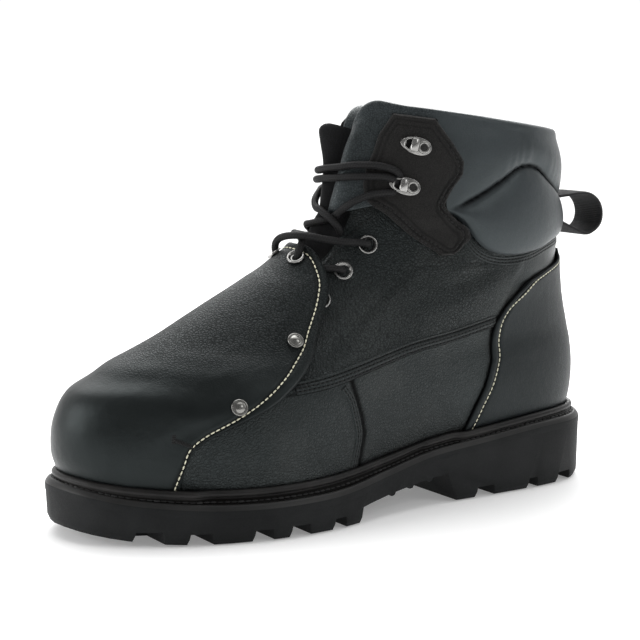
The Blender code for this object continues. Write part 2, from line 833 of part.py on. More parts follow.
# Holes for the eyelets in both facings
hole_shape = bmesh.new()
for where, high in EYELETS:
    for side in (1, -1):
        made = bmesh.ops.create_cone(hole_shape, cap_ends=True, segments=12, radius1=0.0030,
                                     radius2=0.0030, depth=0.012)
        bmesh.ops.transform(hole_shape, matrix=place(side * where, high, 0.0), verts=made["verts"])
hole_mesh = bpy.data.meshes.new("eyelet_holes")
hole_shape.to_mesh(hole_mesh)
hole_shape.free()
eyelet_holes = add_object("eyelet_holes", hole_mesh, hidden)
boolean(upper, eyelet_holes)

# Metatarsal guard: from the toe up over the instep, standing free at its edge
GUARD_ROWS = 21
GUARD_HALF = 8
rows = np.linspace(0.12, 9.05, GUARD_ROWS)
edge = read(GUARD, GUARD_COLUMNS, "around", rows)
across = np.linspace(-1.0, 1.0, 2 * GUARD_HALF + 1)
across = np.sign(across) * np.abs(across) ** 0.9
around = 1.0 + across[None, :] * (1.0 - edge[:, None])
level = np.repeat(rows[:, None], len(across), axis=1)
thick = GUARD_THIN + (GUARD_THICK - GUARD_THIN) * ramp(level, 1.4, 3.8)
rounding = 1.0 - 0.22 * np.abs(across[None, :]) ** 6 * ramp(level, 1.6, 2.6)
lift = 1.5 * ramp(np.abs(across[None, :]), 0.80, 1.0) * ramp(level, 2.0, 3.0)
seat = CURVE_GAP + GUARD_STAND * ramp(level, 0.3, 0.9)
inner_offset = seat + lift
outer_offset = seat + thick * rounding + 0.5 * lift
guard = shell("metatarsal_guard", skin(around, level, outer_offset),
              skin(around, level, inner_offset), smooth_leather)
guard_holes_shape = bmesh.new()
for side in (1, -1):
    made = bmesh.ops.create_cone(guard_holes_shape, cap_ends=True, segments=12, radius1=0.0030,
                                 radius2=0.0030, depth=0.016)
    bmesh.ops.transform(guard_holes_shape, matrix=place(side * GUARD_EYELET[0], GUARD_EYELET[1], 3.0),
                        verts=made["verts"])
guard_holes_mesh = bpy.data.meshes.new("guard_holes")
guard_holes_shape.to_mesh(guard_holes_mesh)
guard_holes_shape.free()
guard_holes = add_object("guard_holes", guard_holes_mesh, hidden)
boolean(guard, guard_holes)

# Heel counter with its strap up the back
rows = np.array([0.12, .9, 1.9, 2.9, 3.9, 4.9, 5.8, 6.5, 7.1, 7.5, 7.85, 8.15, 8.45])
edge = read(COUNTER, COUNTER_COLUMNS, "around", rows)
across = np.linspace(-1.0, 1.0, 23)
around = across[None, :] * edge[:, None]
level = np.repeat(rows[:, None], len(across), axis=1)
seat = CURVE_GAP + 0.25 * ramp(level, 5.8, 6.8)
counter = shell("heel_counter", skin(around, level, seat + COUNTER_THICK),
                skin(around, level, seat), counter_leather)


def padding(around, level):
    """Height of the collar pad above the upper: two rolls with a sewn groove."""
    at = np.abs((np.asarray(around) + 1) % 2 - 1)
    level = np.asarray(level, dtype=float)
    low = read(PAD, PAD_COLUMNS, "level", at)
    puff = read(PUFF, PUFF_COLUMNS, "height", at)
    groove = read(GROOVE, GROOVE_COLUMNS, "level", np.minimum(at, 0.60))
    has_groove = 1.0 - ramp(at, 0.56, 0.62)
    lower = np.clip((level - low) / np.maximum(groove - low, 0.3), 0.0, 1.0)
    upper_part = np.clip((level - groove) / (13.6 - groove), 0.0, 1.0)
    rolls = np.where(level < groove, np.sin(math.pi * lower), np.sin(math.pi * upper_part))
    single = np.sin(math.pi * np.clip((level - low) / (13.9 - low), 0.0, 1.0))
    shape = has_groove * rolls + (1.0 - has_groove) * single
    return 1.0 + puff * np.clip(shape, 0.0, 1.0) ** 0.55


# Collar pad: a puffed cuff that folds over the top of the upper
PAD_STEPS = 9
columns = np.linspace(-COLLAR_END_INNER, COLLAR_END_OUTER, 41)
sections = []
for around in columns:
    low = float(read(PAD, PAD_COLUMNS, "level", abs(around)))
    levels = low + (12.85 - low) * np.linspace(0.0, 1.0, PAD_STEPS)
    outer = [skin(around, v, CURVE_GAP + float(padding(around, v))) for v in levels]
    tall = 2.6 + 2.2 * float(ramp(abs(around), 0.80, 0.96))
    up = np.array([0.0, 0.0, 1.0])
    crown = [
        skin(around, 13.0, CURVE_GAP + 0.85 * float(padding(around, 12.85))) + up * tall * 0.45,
        skin(around, 13.0, 0.35 * float(padding(around, 12.85))) + up * tall,
        skin(around, 13.0, -2.6) + up * tall * 0.9,
        skin(around, 13.0, -4.9) + up * tall * 0.2,
    ]
    lining = [skin(around, 12.5, -5.2), skin(around, 12.15, -4.4), skin(around, 12.15, -WALL - CURVE_GAP)]
    slot = [skin(around, 12.82, -WALL - CURVE_GAP), skin(around, 12.82, CURVE_GAP)]
    backing = [skin(around, v, CURVE_GAP) for v in np.linspace(12.3, low + 0.12, 4)]
    sections.append(outer + crown + lining + slot + backing)
collar = swept("collar_pad", np.array(sections), pad_leather, closed=False, sharp=50.0)



def stay_seat(around, level):
    """Height of the hook stay's underside above the upper."""
    at = np.abs((np.asarray(around) + 1) % 2 - 1)
    low = read(PAD, PAD_COLUMNS, "level", at)
    over = np.maximum(padding(at, np.maximum(level, low + 0.3)), 2.3)
    return CURVE_GAP + (over + 0.4) * ramp(level - low, -0.70, -0.15)


# Hook stays on both sides, over the edge of the collar pad
for side, name in ((1, "hook_stay_outer"), (-1, "hook_stay_inner")):
    rows = pick(STAY, STAY_COLUMNS, "level")
    rear = pick(STAY, STAY_COLUMNS, "rear")
    ahead = pick(STAY, STAY_COLUMNS, "front")
    across = np.linspace(0.0, 1.0, 8)
    around = rear[:, None] + (ahead - rear)[:, None] * across[None, :]
    level = np.repeat(rows[:, None], len(across), axis=1)
    height = stay_seat(around, level)
    stay = shell(name, skin(side * around, level, height + STAY_THICK),
                 skin(side * around, level, height), nubuck)

# Tongue: lies under the facings and swells out through the throat
rows = pick(TONGUE, TONGUE_COLUMNS, "level")
half = pick(TONGUE, TONGUE_COLUMNS, "half")
bulge = pick(TONGUE, TONGUE_COLUMNS, "bulge")
middle = pick(TONGUE, TONGUE_COLUMNS, "middle")
base = pick(TONGUE, TONGUE_COLUMNS, "base")
across = np.linspace(-1.0, 1.0, 17)
around = 1.0 + across[None, :] * half[:, None]
level = np.repeat(rows[:, None], len(across), axis=1)
spread = np.where(level < 10.5, 0.066, 0.048)
near = np.clip(np.abs(around - middle[:, None]) / spread, 0.0, 1.0)
swell = bulge[:, None] * np.cos(near * math.pi / 2) ** 2
offset = base[:, None] + swell
tongue = shell("tongue", skin(around, level, offset), skin(around, level, offset - 2.6), cloth)

def pad_back(level):
    """Point in s, z just behind the middle of the pad."""
    point = skin(0.0, level, CURVE_GAP + float(padding(0.0, level)) + GAP)
    return float(point[0]), float(point[2])


# Pull loop of webbing
line = np.array((pad_back(LOOP_TOP),) + LOOP + (pad_back(LOOP_LOW),))
along = np.gradient(line, axis=0)
side_way = np.stack([-along[:, 1], along[:, 0]], axis=-1)
side_way = side_way / np.linalg.norm(side_way, axis=1, keepdims=True)
profile = np.concatenate([line + side_way * LOOP_THICK / 2, (line - side_way * LOOP_THICK / 2)[::-1]])
sections = np.array([[(s, t, z) for s, z in profile] for t in (-LOOP_WIDE / 2, LOOP_WIDE / 2)])
pull_loop = swept("pull_loop", sections, webbing, closed=False)

# Eyelets with a flange outside and a barrel through the facing
EYELET = ((4.9, 0.0), (4.4, 0.9), (2.9, 1.0), (2.1, 0.2), (2.0, -3.2), (2.6, -3.2), (2.6, 0.0))
GUARD_RING = ((4.6, 0.0), (4.2, 0.9), (2.8, 1.0), (2.1, 0.2), (2.0, -3.6), (2.6, -3.6), (2.6, 0.0))
DOME = ((0.0, 0.0), (4.1, 0.0), (3.9, 0.7), (2.7, 1.5), (0.0, 1.9))
for number, (where, high) in enumerate(EYELETS, start=1):
    for side, word in ((1, "outer"), (-1, "inner")):
        spot = place(side * where, high, GAP)
        turned(f"eyelet_{word}_{number}", EYELET, nickel, spot)
for side, word in ((1, "outer"), (-1, "inner")):
    spot = place(side * GUARD_EYELET[0], GUARD_EYELET[1], CURVE_GAP + GUARD_STAND + GUARD_THICK + 0.35)
    turned(f"guard_eyelet_{word}", GUARD_RING, nickel, spot)
for number, (where, high) in enumerate(RIVETS, start=1):
    for side, word in ((1, "outer"), (-1, "inner")):
        tall = GUARD_THIN + (GUARD_THICK - GUARD_THIN) * float(ramp(high, 1.4, 3.8))
        spot = place(side * where, high, CURVE_GAP + GUARD_STAND + tall + 0.55)
        turned(f"guard_rivet_{word}_{number}", DOME, nickel, spot, 10)

# Speed hooks: a drop-shaped plate with a rivet and a hook bent over the lace
PLATE = ((8.2, 0.0), (7.0, 2.4), (3.0, 4.4), (-2.5, 5.2), (-6.5, 4.2), (-8.4, 0.0),
         (-6.5, -4.2), (-2.5, -5.2), (3.0, -4.4), (7.0, -2.4))
BENT = ((-1.2, 0.4), (-1.2, 3.2), (0.4, 4.6), (3.6, 4.6), (5.4, 3.4), (5.6, 2.0),
        (4.5, 1.9), (4.2, 3.0), (3.1, 3.5), (1.0, 3.5), (0.1, 2.8), (0.1, 0.4))
for number, (where, high) in enumerate(HOOKS, start=1):
    for side, word in ((1, "outer"), (-1, "inner")):
        spot = place(side * where, high, float(stay_seat(where, high)) + STAY_THICK + 0.5)
        plate_points = [(x, y, z) for z in (0.0, 0.9) for x, y in PLATE]
        size = len(PLATE)
        plate_faces = [tuple(range(size)), tuple(reversed(range(size, 2 * size)))]
        plate_faces += [(i, (i + 1) % size, size + (i + 1) % size, size + i) for i in range(size)]
        plate_mesh = mesh_of("plate", np.array(plate_points) * 0.001, plate_faces)
        hook = add_object(f"lace_hook_{word}_{number}", plate_mesh, nickel)
        bent_points = [(x, y, z) for y in (-2.6, 2.6) for x, z in BENT]
        size = len(BENT)
        bent_faces = [tuple(range(size)), tuple(reversed(range(size, 2 * size)))]
        bent_faces += [(i, (i + 1) % size, size + (i + 1) % size, size + i) for i in range(size)]
        bent_mesh = mesh_of("bent", np.array(bent_points) * 0.001, bent_faces)
        bent = add_object(f"bent_{word}_{number}", bent_mesh, hidden)
        hook.matrix_world = spot
        bent.matrix_world = spot
        boolean(hook, bent, "UNION")


def lace_line(name, row):
    """Tube of lace through points given by way around, level and height."""
    row = np.array(row, dtype=float)
    at = np.arange(len(row), dtype=float)
    fine = np.linspace(0.0, len(row) - 1.0, 2 * (len(row) - 1) + 1)
    around, level, offset = (smooth(at, row[:, k], fine) for k in range(3))
    return tube(name, skin(around, level, offset), LACE_RADIUS, cord)


# Lace: two strands round the front between the lower hooks, the crossing below
# them, the bar between the upper eyelets and the tie of the guard
lace_line("lace_strand_upper", (
    (.815, 11.30, 7.4), (.865, 11.34, 7.6), (.920, 11.36, 8.6), (.965, 11.36, 9.9),
    (1.035, 11.36, 10.8), (1.105, 11.36, 9.0), (1.150, 11.34, 7.6), (1.185, 11.30, 7.4)))
lace_line("lace_strand_lower", (
    (.822, 11.06, 7.4), (.865, 11.07, 7.6), (.920, 11.08, 8.6), (.965, 11.08, 9.9),
    (1.035, 11.08, 10.6), (1.105, 11.08, 9.0), (1.150, 11.07, 7.6), (1.178, 11.06, 7.4)))
crossing = lace_line("lace_crossing", (
    (.922, 9.80, 2.2), (.950, 9.94, 4.2), (.980, 10.10, 6.2), (1.010, 10.32, 7.6),
    (1.050, 10.56, 8.6), (1.100, 10.70, 8.0), (1.135, 10.72, 7.4), (1.165, 10.72, 7.2)))
other = lace_line("lace_crossing_other", (
    (1.078, 9.80, 2.2), (1.050, 9.94, 4.2), (1.020, 10.10, 6.2), (.995, 10.30, 7.6),
    (.955, 10.52, 8.8), (.910, 10.66, 8.2), (.865, 10.70, 7.4), (.842, 10.70, 7.2)))
boolean(crossing, other, "UNION")
lace_line("lace_bar", (
    (.842, 9.28, 3.4), (.880, 9.32, 3.6), (.930, 9.36, 4.2), (1.000, 9.38, 5.0),
    (1.070, 9.36, 4.2), (1.120, 9.32, 3.6), (1.158, 9.28, 3.4)))
lace_line("lace_guard_tie", (
    (.957, 8.66, 9.0), (.957, 8.88, 9.9), (.965, 9.14, 10.0), (.985, 9.30, 10.2),
    (1.015, 9.30, 10.2), (1.035, 9.14, 10.0), (1.043, 8.88, 9.9), (1.043, 8.66, 9.0)))
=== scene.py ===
# %% [markdown]
# A work boot with a metatarsal guard, dressed in Blender. The solid pieces of the
# boot are already there as a fixed frame: each has its real size and place. This
# lesson puts leather, thread, cord, metal and rubber on them, piece by piece.
# The frame comes first, because nothing below may leave its box.

# %% Load the frame
import json
import math

import bmesh
import bpy
import numpy as np
from mathutils import Matrix, Vector
from mathutils.bvhtree import BVHTree

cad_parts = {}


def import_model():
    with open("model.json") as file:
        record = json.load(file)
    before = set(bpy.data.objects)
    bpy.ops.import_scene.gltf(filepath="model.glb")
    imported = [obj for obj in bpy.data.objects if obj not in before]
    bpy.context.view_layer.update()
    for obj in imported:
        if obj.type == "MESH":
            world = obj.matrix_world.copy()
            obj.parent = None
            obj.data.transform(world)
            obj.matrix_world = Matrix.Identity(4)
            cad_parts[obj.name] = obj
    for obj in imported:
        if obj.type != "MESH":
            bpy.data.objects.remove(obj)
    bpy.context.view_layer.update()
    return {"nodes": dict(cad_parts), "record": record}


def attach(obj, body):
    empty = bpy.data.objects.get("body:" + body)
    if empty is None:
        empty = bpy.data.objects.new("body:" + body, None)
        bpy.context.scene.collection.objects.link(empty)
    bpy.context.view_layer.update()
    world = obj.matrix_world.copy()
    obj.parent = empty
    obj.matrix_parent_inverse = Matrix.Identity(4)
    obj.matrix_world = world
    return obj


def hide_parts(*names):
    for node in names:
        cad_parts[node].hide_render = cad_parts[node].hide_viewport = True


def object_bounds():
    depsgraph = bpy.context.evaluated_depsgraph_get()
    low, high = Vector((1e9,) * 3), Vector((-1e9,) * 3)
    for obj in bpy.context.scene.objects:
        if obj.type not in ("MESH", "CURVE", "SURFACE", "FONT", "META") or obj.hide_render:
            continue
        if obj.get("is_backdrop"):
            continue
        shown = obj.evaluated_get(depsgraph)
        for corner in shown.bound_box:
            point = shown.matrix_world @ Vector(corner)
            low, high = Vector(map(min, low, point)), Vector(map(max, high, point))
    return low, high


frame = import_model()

# %% [markdown]
# The camera stands where the photographer stood: a little above the boot, in
# front of its outer side, with a long lens so that the sides stay parallel.
# A small shift frames the boot as the photograph does.

# %% Camera
CAMERA_AT = Vector((0.7511, -0.5659, 0.2223))
CAMERA_AIM = Vector((0.0, -0.088, 0.090))
camera_data = bpy.data.cameras.new("camera")
camera_data.sensor_width = 36.0
camera_data.lens = 97.5
camera_data.shift_x = -0.0191
camera_data.shift_y = 0.0134
camera_data.clip_start = 0.05
camera_data.clip_end = 20.0
camera = bpy.data.objects.new("camera", camera_data)
camera.location = CAMERA_AT
camera.rotation_euler = (CAMERA_AIM - CAMERA_AT).to_track_quat("-Z", "Y").to_euler()
bpy.context.collection.objects.link(camera)
bpy.context.scene.camera = camera
print("camera", round((CAMERA_AIM - CAMERA_AT).length, 3), "m from the boot")

# %% [markdown]
# Black leather shows its form only by what it reflects. So the wall behind the boot
# is bright, the side of the camera is dim, and soft boxes above and behind draw the
# thin bright edges. The floor is one plain pale sheet.

# %% Studio
def studio_material(name, colour, roughness):
    made = bpy.data.materials.new(name)
    made.use_nodes = True
    shader = made.node_tree.nodes["Principled BSDF"]
    shader.inputs["Base Color"].default_value = (*colour, 1.0)
    shader.inputs["Roughness"].default_value = roughness
    shader.inputs["Specular IOR Level"].default_value = 0.2
    return made


def soft_box(name, at, aim, size, watts):
    data = bpy.data.lights.new(name, "AREA")
    data.shape = "RECTANGLE"
    data.size, data.size_y = size
    data.energy = watts
    lamp = bpy.data.objects.new(name, data)
    lamp.location = at
    lamp.rotation_euler = (Vector(aim) - Vector(at)).to_track_quat("-Z", "Y").to_euler()
    bpy.context.collection.objects.link(lamp)
    return lamp


bpy.ops.object.select_all(action="DESELECT")
bpy.ops.mesh.primitive_plane_add(size=12.0, location=(0.0, 0.0, -0.0005))
floor = bpy.context.object
floor.name = "floor"
floor_sheet = studio_material("floor_sheet", (0.92, 0.92, 0.92), 0.9)
floor_shader = floor_sheet.node_tree.nodes["Principled BSDF"]
floor_shader.inputs["Emission Color"].default_value = (1.0, 1.0, 1.0, 1.0)
floor_shader.inputs["Emission Strength"].default_value = 0.22
floor.data.materials.append(floor_sheet)
floor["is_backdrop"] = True

world = bpy.data.worlds.new("studio")
bpy.context.scene.world = world
world.use_nodes = True
world_tree = world.node_tree
backdrop = world_tree.nodes["Background"]
backdrop.inputs["Color"].default_value = (1.0, 1.0, 1.0, 1.0)
BACKDROP_WAY = (-0.84, 0.54, 0.0)      # towards the lit wall behind the boot
BACKDROP_LIGHT = 1.05
ROOM_LIGHT = 0.30
facing = world_tree.nodes.new("ShaderNodeVectorMath")
facing.operation = "DOT_PRODUCT"
facing.inputs[1].default_value = BACKDROP_WAY
room = world_tree.nodes.new("ShaderNodeMapRange")
room.interpolation_type = "SMOOTHSTEP"
for socket, value in (("From Min", -0.2), ("From Max", 0.6),
                      ("To Min", ROOM_LIGHT), ("To Max", BACKDROP_LIGHT)):
    room.inputs[socket].default_value = value
world_tree.links.new(world_tree.nodes.new("ShaderNodeTexCoord").outputs["Generated"], facing.inputs[0])
world_tree.links.new(facing.outputs["Value"], room.inputs["Value"])
world_tree.links.new(room.outputs["Result"], backdrop.inputs["Strength"])
soft_box("top_box", (-0.45, 0.05, 1.05), (0.0, -0.08, 0.05), (1.0, 0.9), 5.5)
soft_box("back_box", (-0.80, 0.55, 0.60), (0.0, -0.05, 0.10), (0.7, 0.6), 6.0)
soft_box("toe_box", (-0.35, -1.25, 0.42), (0.0, -0.20, 0.06), (0.75, 0.60), 6.5)
soft_box("front_box", (1.05, 0.45, 0.85), (0.02, 0.0, 0.10), (0.5, 0.5), 2.4)
key_data = bpy.data.lights.new("key", "SUN")
key_data.energy = 1.9
key_data.angle = math.radians(80)
key = bpy.data.objects.new("key", key_data)
key.rotation_euler = Vector((0.45, -0.30, -1.0)).to_track_quat("-Z", "Y").to_euler()
bpy.context.collection.objects.link(key)
bpy.context.scene.view_settings.view_transform = "Standard"
print("studio: floor, lit wall, sun and four soft boxes")

# %% [markdown]
# A shoe is built on a last, a wooden foot. Everything on the upper lies on that
# form, so this cell rebuilds it: rings from the feather line to the collar, each
# a tilted oval. A place on it is two numbers, how far around (0 at the back, 1 at
# the front, minus on the inner side) and the level (0 at the sole, 13 at the top).

# %% Sizes of the last, in millimetres
ORIGIN_S = 68.0            # the origin lies under the middle of the heel
WALL = 2.5                 # thickness of the upper
GAP = 0.35                 # air left between two pieces that meet
CURVE_GAP = 0.55           # the same under a curved overlay
MIDSOLE_THICK = 4.8
GUARD_THIN = 1.9           # guard leather at the toe
GUARD_THICK = 4.1          # guard with its plate over the instep
GUARD_STAND = 0.80         # extra air under the guard above the welt
COUNTER_THICK = 1.6
STAY_THICK = 1.5
LACE_RADIUS = 1.9
THROAT_BASE = 8.2          # level where the throat begins
COLLAR_END_OUTER = 0.975
COLLAR_END_INNER = 0.905
GUARD_TOP = 9.05           # level of the guard's rear edge in the middle
COUNTER_TOP = 8.45
AROUND_MM = 150.0          # rough millimetres in one unit of the way around
LEVEL_MM = 11.0            # and in one level
SIDES = ((1, "outer"), (-1, "inner"))

# Outline of the sole: distance from the heel, outer half width, inner half width
OUTLINE_COLUMNS = ("s", "outer", "inner")
OUTLINE = (
    (0.0, 0.0, 0.0), (4.0, 16.5, 17.0), (12.0, 27.5, 28.0), (25.0, 35.7, 35.5), (45.0, 39.6, 38.0),
    (70.0, 41.0, 36.5), (90.0, 41.5, 34.0), (120.0, 42.0, 32.5), (150.0, 47.0, 36.0),
    (180.0, 55.0, 45.0), (200.0, 57.6, 51.0), (222.0, 56.8, 55.0), (245.0, 52.0, 55.5),
    (265.0, 44.5, 52.5), (282.0, 35.8, 46.5), (297.0, 24.5, 37.0), (307.0, 11.0, 25.0),
    (312.0, -8.0, 8.0),
)

# Height of the joint between outsole and midsole
RIM_COLUMNS = ("s", "z")
RIM = (
    (0.0, 31.0), (45.0, 30.5), (90.0, 26.5), (120.0, 23.5), (150.0, 18.5), (180.0, 14.6),
    (210.0, 13.4), (240.0, 13.6), (270.0, 15.6), (295.0, 19.0), (312.0, 23.0),
)

# Rings of the upper from the feather line up to the collar. Each ring is a
# tilted oval: back point, front point, half widths, where it is widest, the
# roundness of its two ends, the depth of its waist, how far it follows the rim.
RING_COLUMNS = ("sb", "zb", "sf", "zf", "wo", "wi", "fo", "fi",
                "pb", "pf", "ao", "ai", "follow")
RINGS = (
    (9.0, 36.1, 303.0, 25.9, 48.5, 47.5, .64, .72, 3.2, 2.30, 13, 21, 1.00),
    (5.5, 48.0, 306.5, 42.0, 50.5, 46.0, .63, .70, 3.0, 2.40, 11, 18, 0.80),
    (4.0, 61.0, 305.0, 55.0, 50.5, 44.5, .62, .68, 2.8, 2.40, 9, 13, 0.50),
    (4.5, 73.0, 297.5, 66.2, 48.5, 41.5, .60, .64, 2.6, 2.30, 7, 7, 0.25),
    (6.5, 84.0, 283.5, 74.8, 45.5, 40.0, .57, .60, 2.4, 2.00, 5, 3, 0.10),
    (9.0, 94.0, 264.0, 84.3, 42.5, 39.3, .53, .55, 2.4, 1.70, 3, 1, 0.03),
    (11.0, 103.0, 240.5, 96.3, 40.0, 38.3, .50, .50, 2.4, 1.50, 1, 0, 0.00),
    (12.8, 112.0, 216.0, 108.8, 38.5, 37.0, .48, .48, 2.4, 1.45, 0, 0, 0.00),
    (13.8, 121.0, 193.0, 120.3, 37.6, 36.0, .47, .47, 2.4, 1.50, 0, 0, 0.00),
    (14.8, 131.0, 175.5, 132.4, 36.8, 35.3, .46, .46, 2.4, 1.60, 0, 0, 0.00),
    (15.8, 143.0, 164.0, 147.0, 35.8, 34.8, .46, .46, 2.4, 1.80, 0, 0, 0.00),
    (16.5, 158.0, 155.0, 166.0, 35.3, 34.3, .46, .46, 2.3, 1.90, 0, 0, 0.00),
    (17.8, 172.0, 148.0, 185.0, 35.5, 34.5, .46, .46, 2.2, 2.00, 0, 0, 0.00),
    (20.5, 187.0, 142.0, 204.0, 35.5, 34.5, .46, .46, 2.2, 2.00, 0, 0, 0.00),
)

# Swing of the toe towards the inner side
SWING_COLUMNS = ("s", "t")
SWING = (
    (0.0, 0.0), (150.0, 0.0), (200.0, 0.8), (235.0, -0.4), (265.0, -2.6), (290.0, -3.9),
    (312.0, -4.6),
)

# Lap seam of the quarter over the vamp, by the way around (0 back, 1 front)
SEAM_COLUMNS = ("around", "level")
SEAM = (
    (0.00, 5.20), (0.29, 4.80), (0.39, 4.35), (0.48, 4.05), (0.54, 3.65), (0.58, 3.40),
    (0.62, 3.22), (0.66, 3.15), (1.00, 3.15),
)

# Rear edge of the metatarsal guard
GUARD_COLUMNS = ("level", "around")
GUARD = (
    (0.10, .822), (0.60, .815), (1.20, .805), (1.80, .785), (2.20, .750), (2.70, .702),
    (3.30, .678), (4.00, .672), (4.70, .683), (5.60, .717), (6.40, .752), (7.30, .800),
    (7.95, .850), (8.50, .900), (8.90, .945), (9.05, .975),
)

# Front edge of the heel counter, with the narrow strap up the back
COUNTER_COLUMNS = ("level", "around")
COUNTER = (
    (0.10, .312), (0.60, .306), (1.20, .298), (2.00, .284), (3.10, .276), (4.00, .284),
    (5.00, .292), (5.80, .287), (6.50, .268), (7.10, .240), (7.60, .175), (7.95, .100),
    (8.20, .058), (8.45, .052),
)

# Lower edge of the collar pad
PAD_COLUMNS = ("around", "level")
PAD = (
    (0.00, 9.35), (0.10, 9.30), (0.19, 9.05), (0.26, 8.72), (0.33, 8.58), (0.40, 8.66),
    (0.48, 9.10), (0.54, 9.75), (0.60, 10.25), (0.70, 10.35), (0.84, 10.45), (0.90, 10.30),
    (1.00, 10.10),
)

# Height of the padding by the way around: thin under the hook stay
PUFF_COLUMNS = ("around", "height")
PUFF = (
    (0.00, 3.0), (0.15, 3.6), (0.30, 4.8), (0.40, 5.0), (0.52, 4.2), (0.60, 2.2), (0.66, 1.6),
    (0.84, 1.6), (0.90, 3.2), (0.95, 6.2), (1.00, 6.6),
)

# Sewn groove between the collar roll and the ankle pad
GROOVE_COLUMNS = ("around", "level")
GROOVE = (
    (0.00, 10.60), (0.12, 10.85), (0.22, 11.30), (0.32, 11.80), (0.38, 11.75), (0.46, 11.20),
    (0.54, 10.70), (0.60, 10.40),
)

# Hook stay: front and rear edge
STAY_COLUMNS = ("level", "front", "rear")
STAY = (
    (8.74, .592, .552), (9.00, .625, .538), (9.40, .688, .532), (9.80, .742, .552),
    (10.20, .800, .606), (10.50, .868, .640), (10.90, .890, .628), (11.40, .894, .602),
    (11.80, .885, .606), (12.30, .880, .652), (12.90, .850, .718),
)

# Tongue: half width by level, height of its bulge and middle of the bulge
TONGUE_COLUMNS = ("level", "half", "bulge", "middle", "base")
TONGUE = (
    (7.30, .090, 0.0, 1.000, -3.8), (8.10, .115, 0.0, 1.000, -3.8), (8.75, .130, 0.5, 1.000, -3.8),
    (9.20, .140, 4.5, 1.000, -3.8), (9.60, .145, 5.6, 1.000, -3.8), (10.20, .145, 5.2, 1.008, -3.8),
    (10.80, .140, 7.5, 1.025, -4.0), (11.50, .135, 12.0, 1.035, -4.8),
    (11.95, .130, 17.5, 1.038, -6.2), (12.30, .120, 20.5, 1.038, -6.4),
    (12.44, .105, 19.8, 1.038, -6.4),
)

# Metal pieces: the way around and the level of each one
EYELETS = ((.817, 9.24), (.825, 8.20), (.796, 7.02))
HOOKS = ((.767, 12.10), (.775, 10.98))
RIVETS = ((.742, 5.22), (.750, 2.81))
GUARD_EYELET = (.955, 8.45)
print("last:", len(RINGS), "rings; sole of", OUTLINE[-1][0], "mm")

# %% [markdown]
# A table is read between its rows by a smooth curve. From the rings comes one fine
# grid of points, and skin() gives any place on it, at any distance outside it.

# %% The form of the last
def pick(table, columns, name):
    """One named column of a table as an array."""
    return np.array([row[columns.index(name)] for row in table], dtype=float)


def smooth(x, y, at):
    """Smooth curve through the points (x, y), read at the places given."""
    at = np.clip(np.asarray(at, dtype=float), x[0], x[-1])
    slope = np.gradient(y, x)
    i = np.clip(np.searchsorted(x, at) - 1, 0, len(x) - 2)
    step = x[i + 1] - x[i]
    u = (at - x[i]) / step
    low = (2 * u**3 - 3 * u**2 + 1) * y[i] + (u**3 - 2 * u**2 + u) * step * slope[i]
    high = (3 * u**2 - 2 * u**3) * y[i + 1] + (u**3 - u**2) * step * slope[i + 1]
    return low + high


def read(table, columns, name, at):
    """A named column of a table, read between its rows."""
    return smooth(pick(table, columns, columns[0]), pick(table, columns, name), at)


def unit(vectors):
    """The same directions with a length of one."""
    return vectors / np.linalg.norm(vectors, axis=-1, keepdims=True)


def ramp(x, low, high):
    """0 below low, 1 above high, and smooth between."""
    u = np.clip((np.asarray(x, dtype=float) - low) / (high - low), 0.0, 1.0)
    return u * u * (3.0 - 2.0 * u)


def fold(around):
    """The way around without its side: 0 at the back, 1 at the front."""
    return np.abs((np.asarray(around) + 1) % 2 - 1)


def rim(s):
    """Height of the top of the outsole."""
    return read(RIM, RIM_COLUMNS, "z", s)


def ring_half(level, side):
    """Half of one ring of the upper, from its back to its front."""
    number = np.arange(len(RINGS), dtype=float)
    get = {name: float(smooth(number, pick(RINGS, RING_COLUMNS, name), level))
           for name in RING_COLUMNS}
    wide = get["wo"] if side > 0 else get["wi"]
    widest = get["fo"] if side > 0 else get["fi"]
    waist = get["ao"] if side > 0 else get["ai"]
    middle = 0.36 if side > 0 else 0.38
    f = (1.0 - np.cos(np.linspace(0.0, math.pi, 400))) / 2.0
    back = np.clip((widest - f) / widest, 0.0, 1.0) ** get["pb"]
    front = np.clip((f - widest) / (1.0 - widest), 0.0, 1.0) ** get["pf"]
    t = wide * np.sqrt(np.clip(1.0 - back - front, 0.0, 1.0))
    near = np.clip(np.abs(f - middle) / 0.34, 0.0, 1.0)
    t = t - waist * (1.0 - near * near) ** 2
    s = get["sb"] + (get["sf"] - get["sb"]) * f
    swing = read(SWING, SWING_COLUMNS, "t", s) * (1.0 - ramp(level, 3.0, 7.0))
    z = get["zb"] + (get["zf"] - get["zb"]) * f
    chord = rim(get["sb"]) + (rim(get["sf"]) - rim(get["sb"])) * f
    z = z + get["follow"] * (rim(s) - chord)
    return np.stack([s, side * t + swing, z], axis=-1)


def run_length(points):
    """Length along a line of points, from its start to each of them."""
    return np.concatenate([[0.0], np.cumsum(np.linalg.norm(np.diff(points, axis=0), axis=1))])


def even_steps(points, count):
    """Points at equal steps along a line of points."""
    run = run_length(points)
    at = np.linspace(0.0, run[-1], count)
    return np.stack([np.interp(at, run, points[:, k]) for k in range(3)], axis=-1)


# The form of the last as a fine table: level by the way around, -1 to 1
TOP = len(RINGS) - 1
LEVEL_STEPS = 20
AROUND_STEPS = 240


def last_table():
    rows = []
    for k in range(TOP * LEVEL_STEPS + 1):
        level = k / LEVEL_STEPS
        outer = even_steps(ring_half(level, 1), AROUND_STEPS + 1)
        inner = even_steps(ring_half(level, -1), AROUND_STEPS + 1)
        rows.append(np.concatenate([inner[::-1], outer[1:]]))
    return np.array(rows)


LAST = last_table()


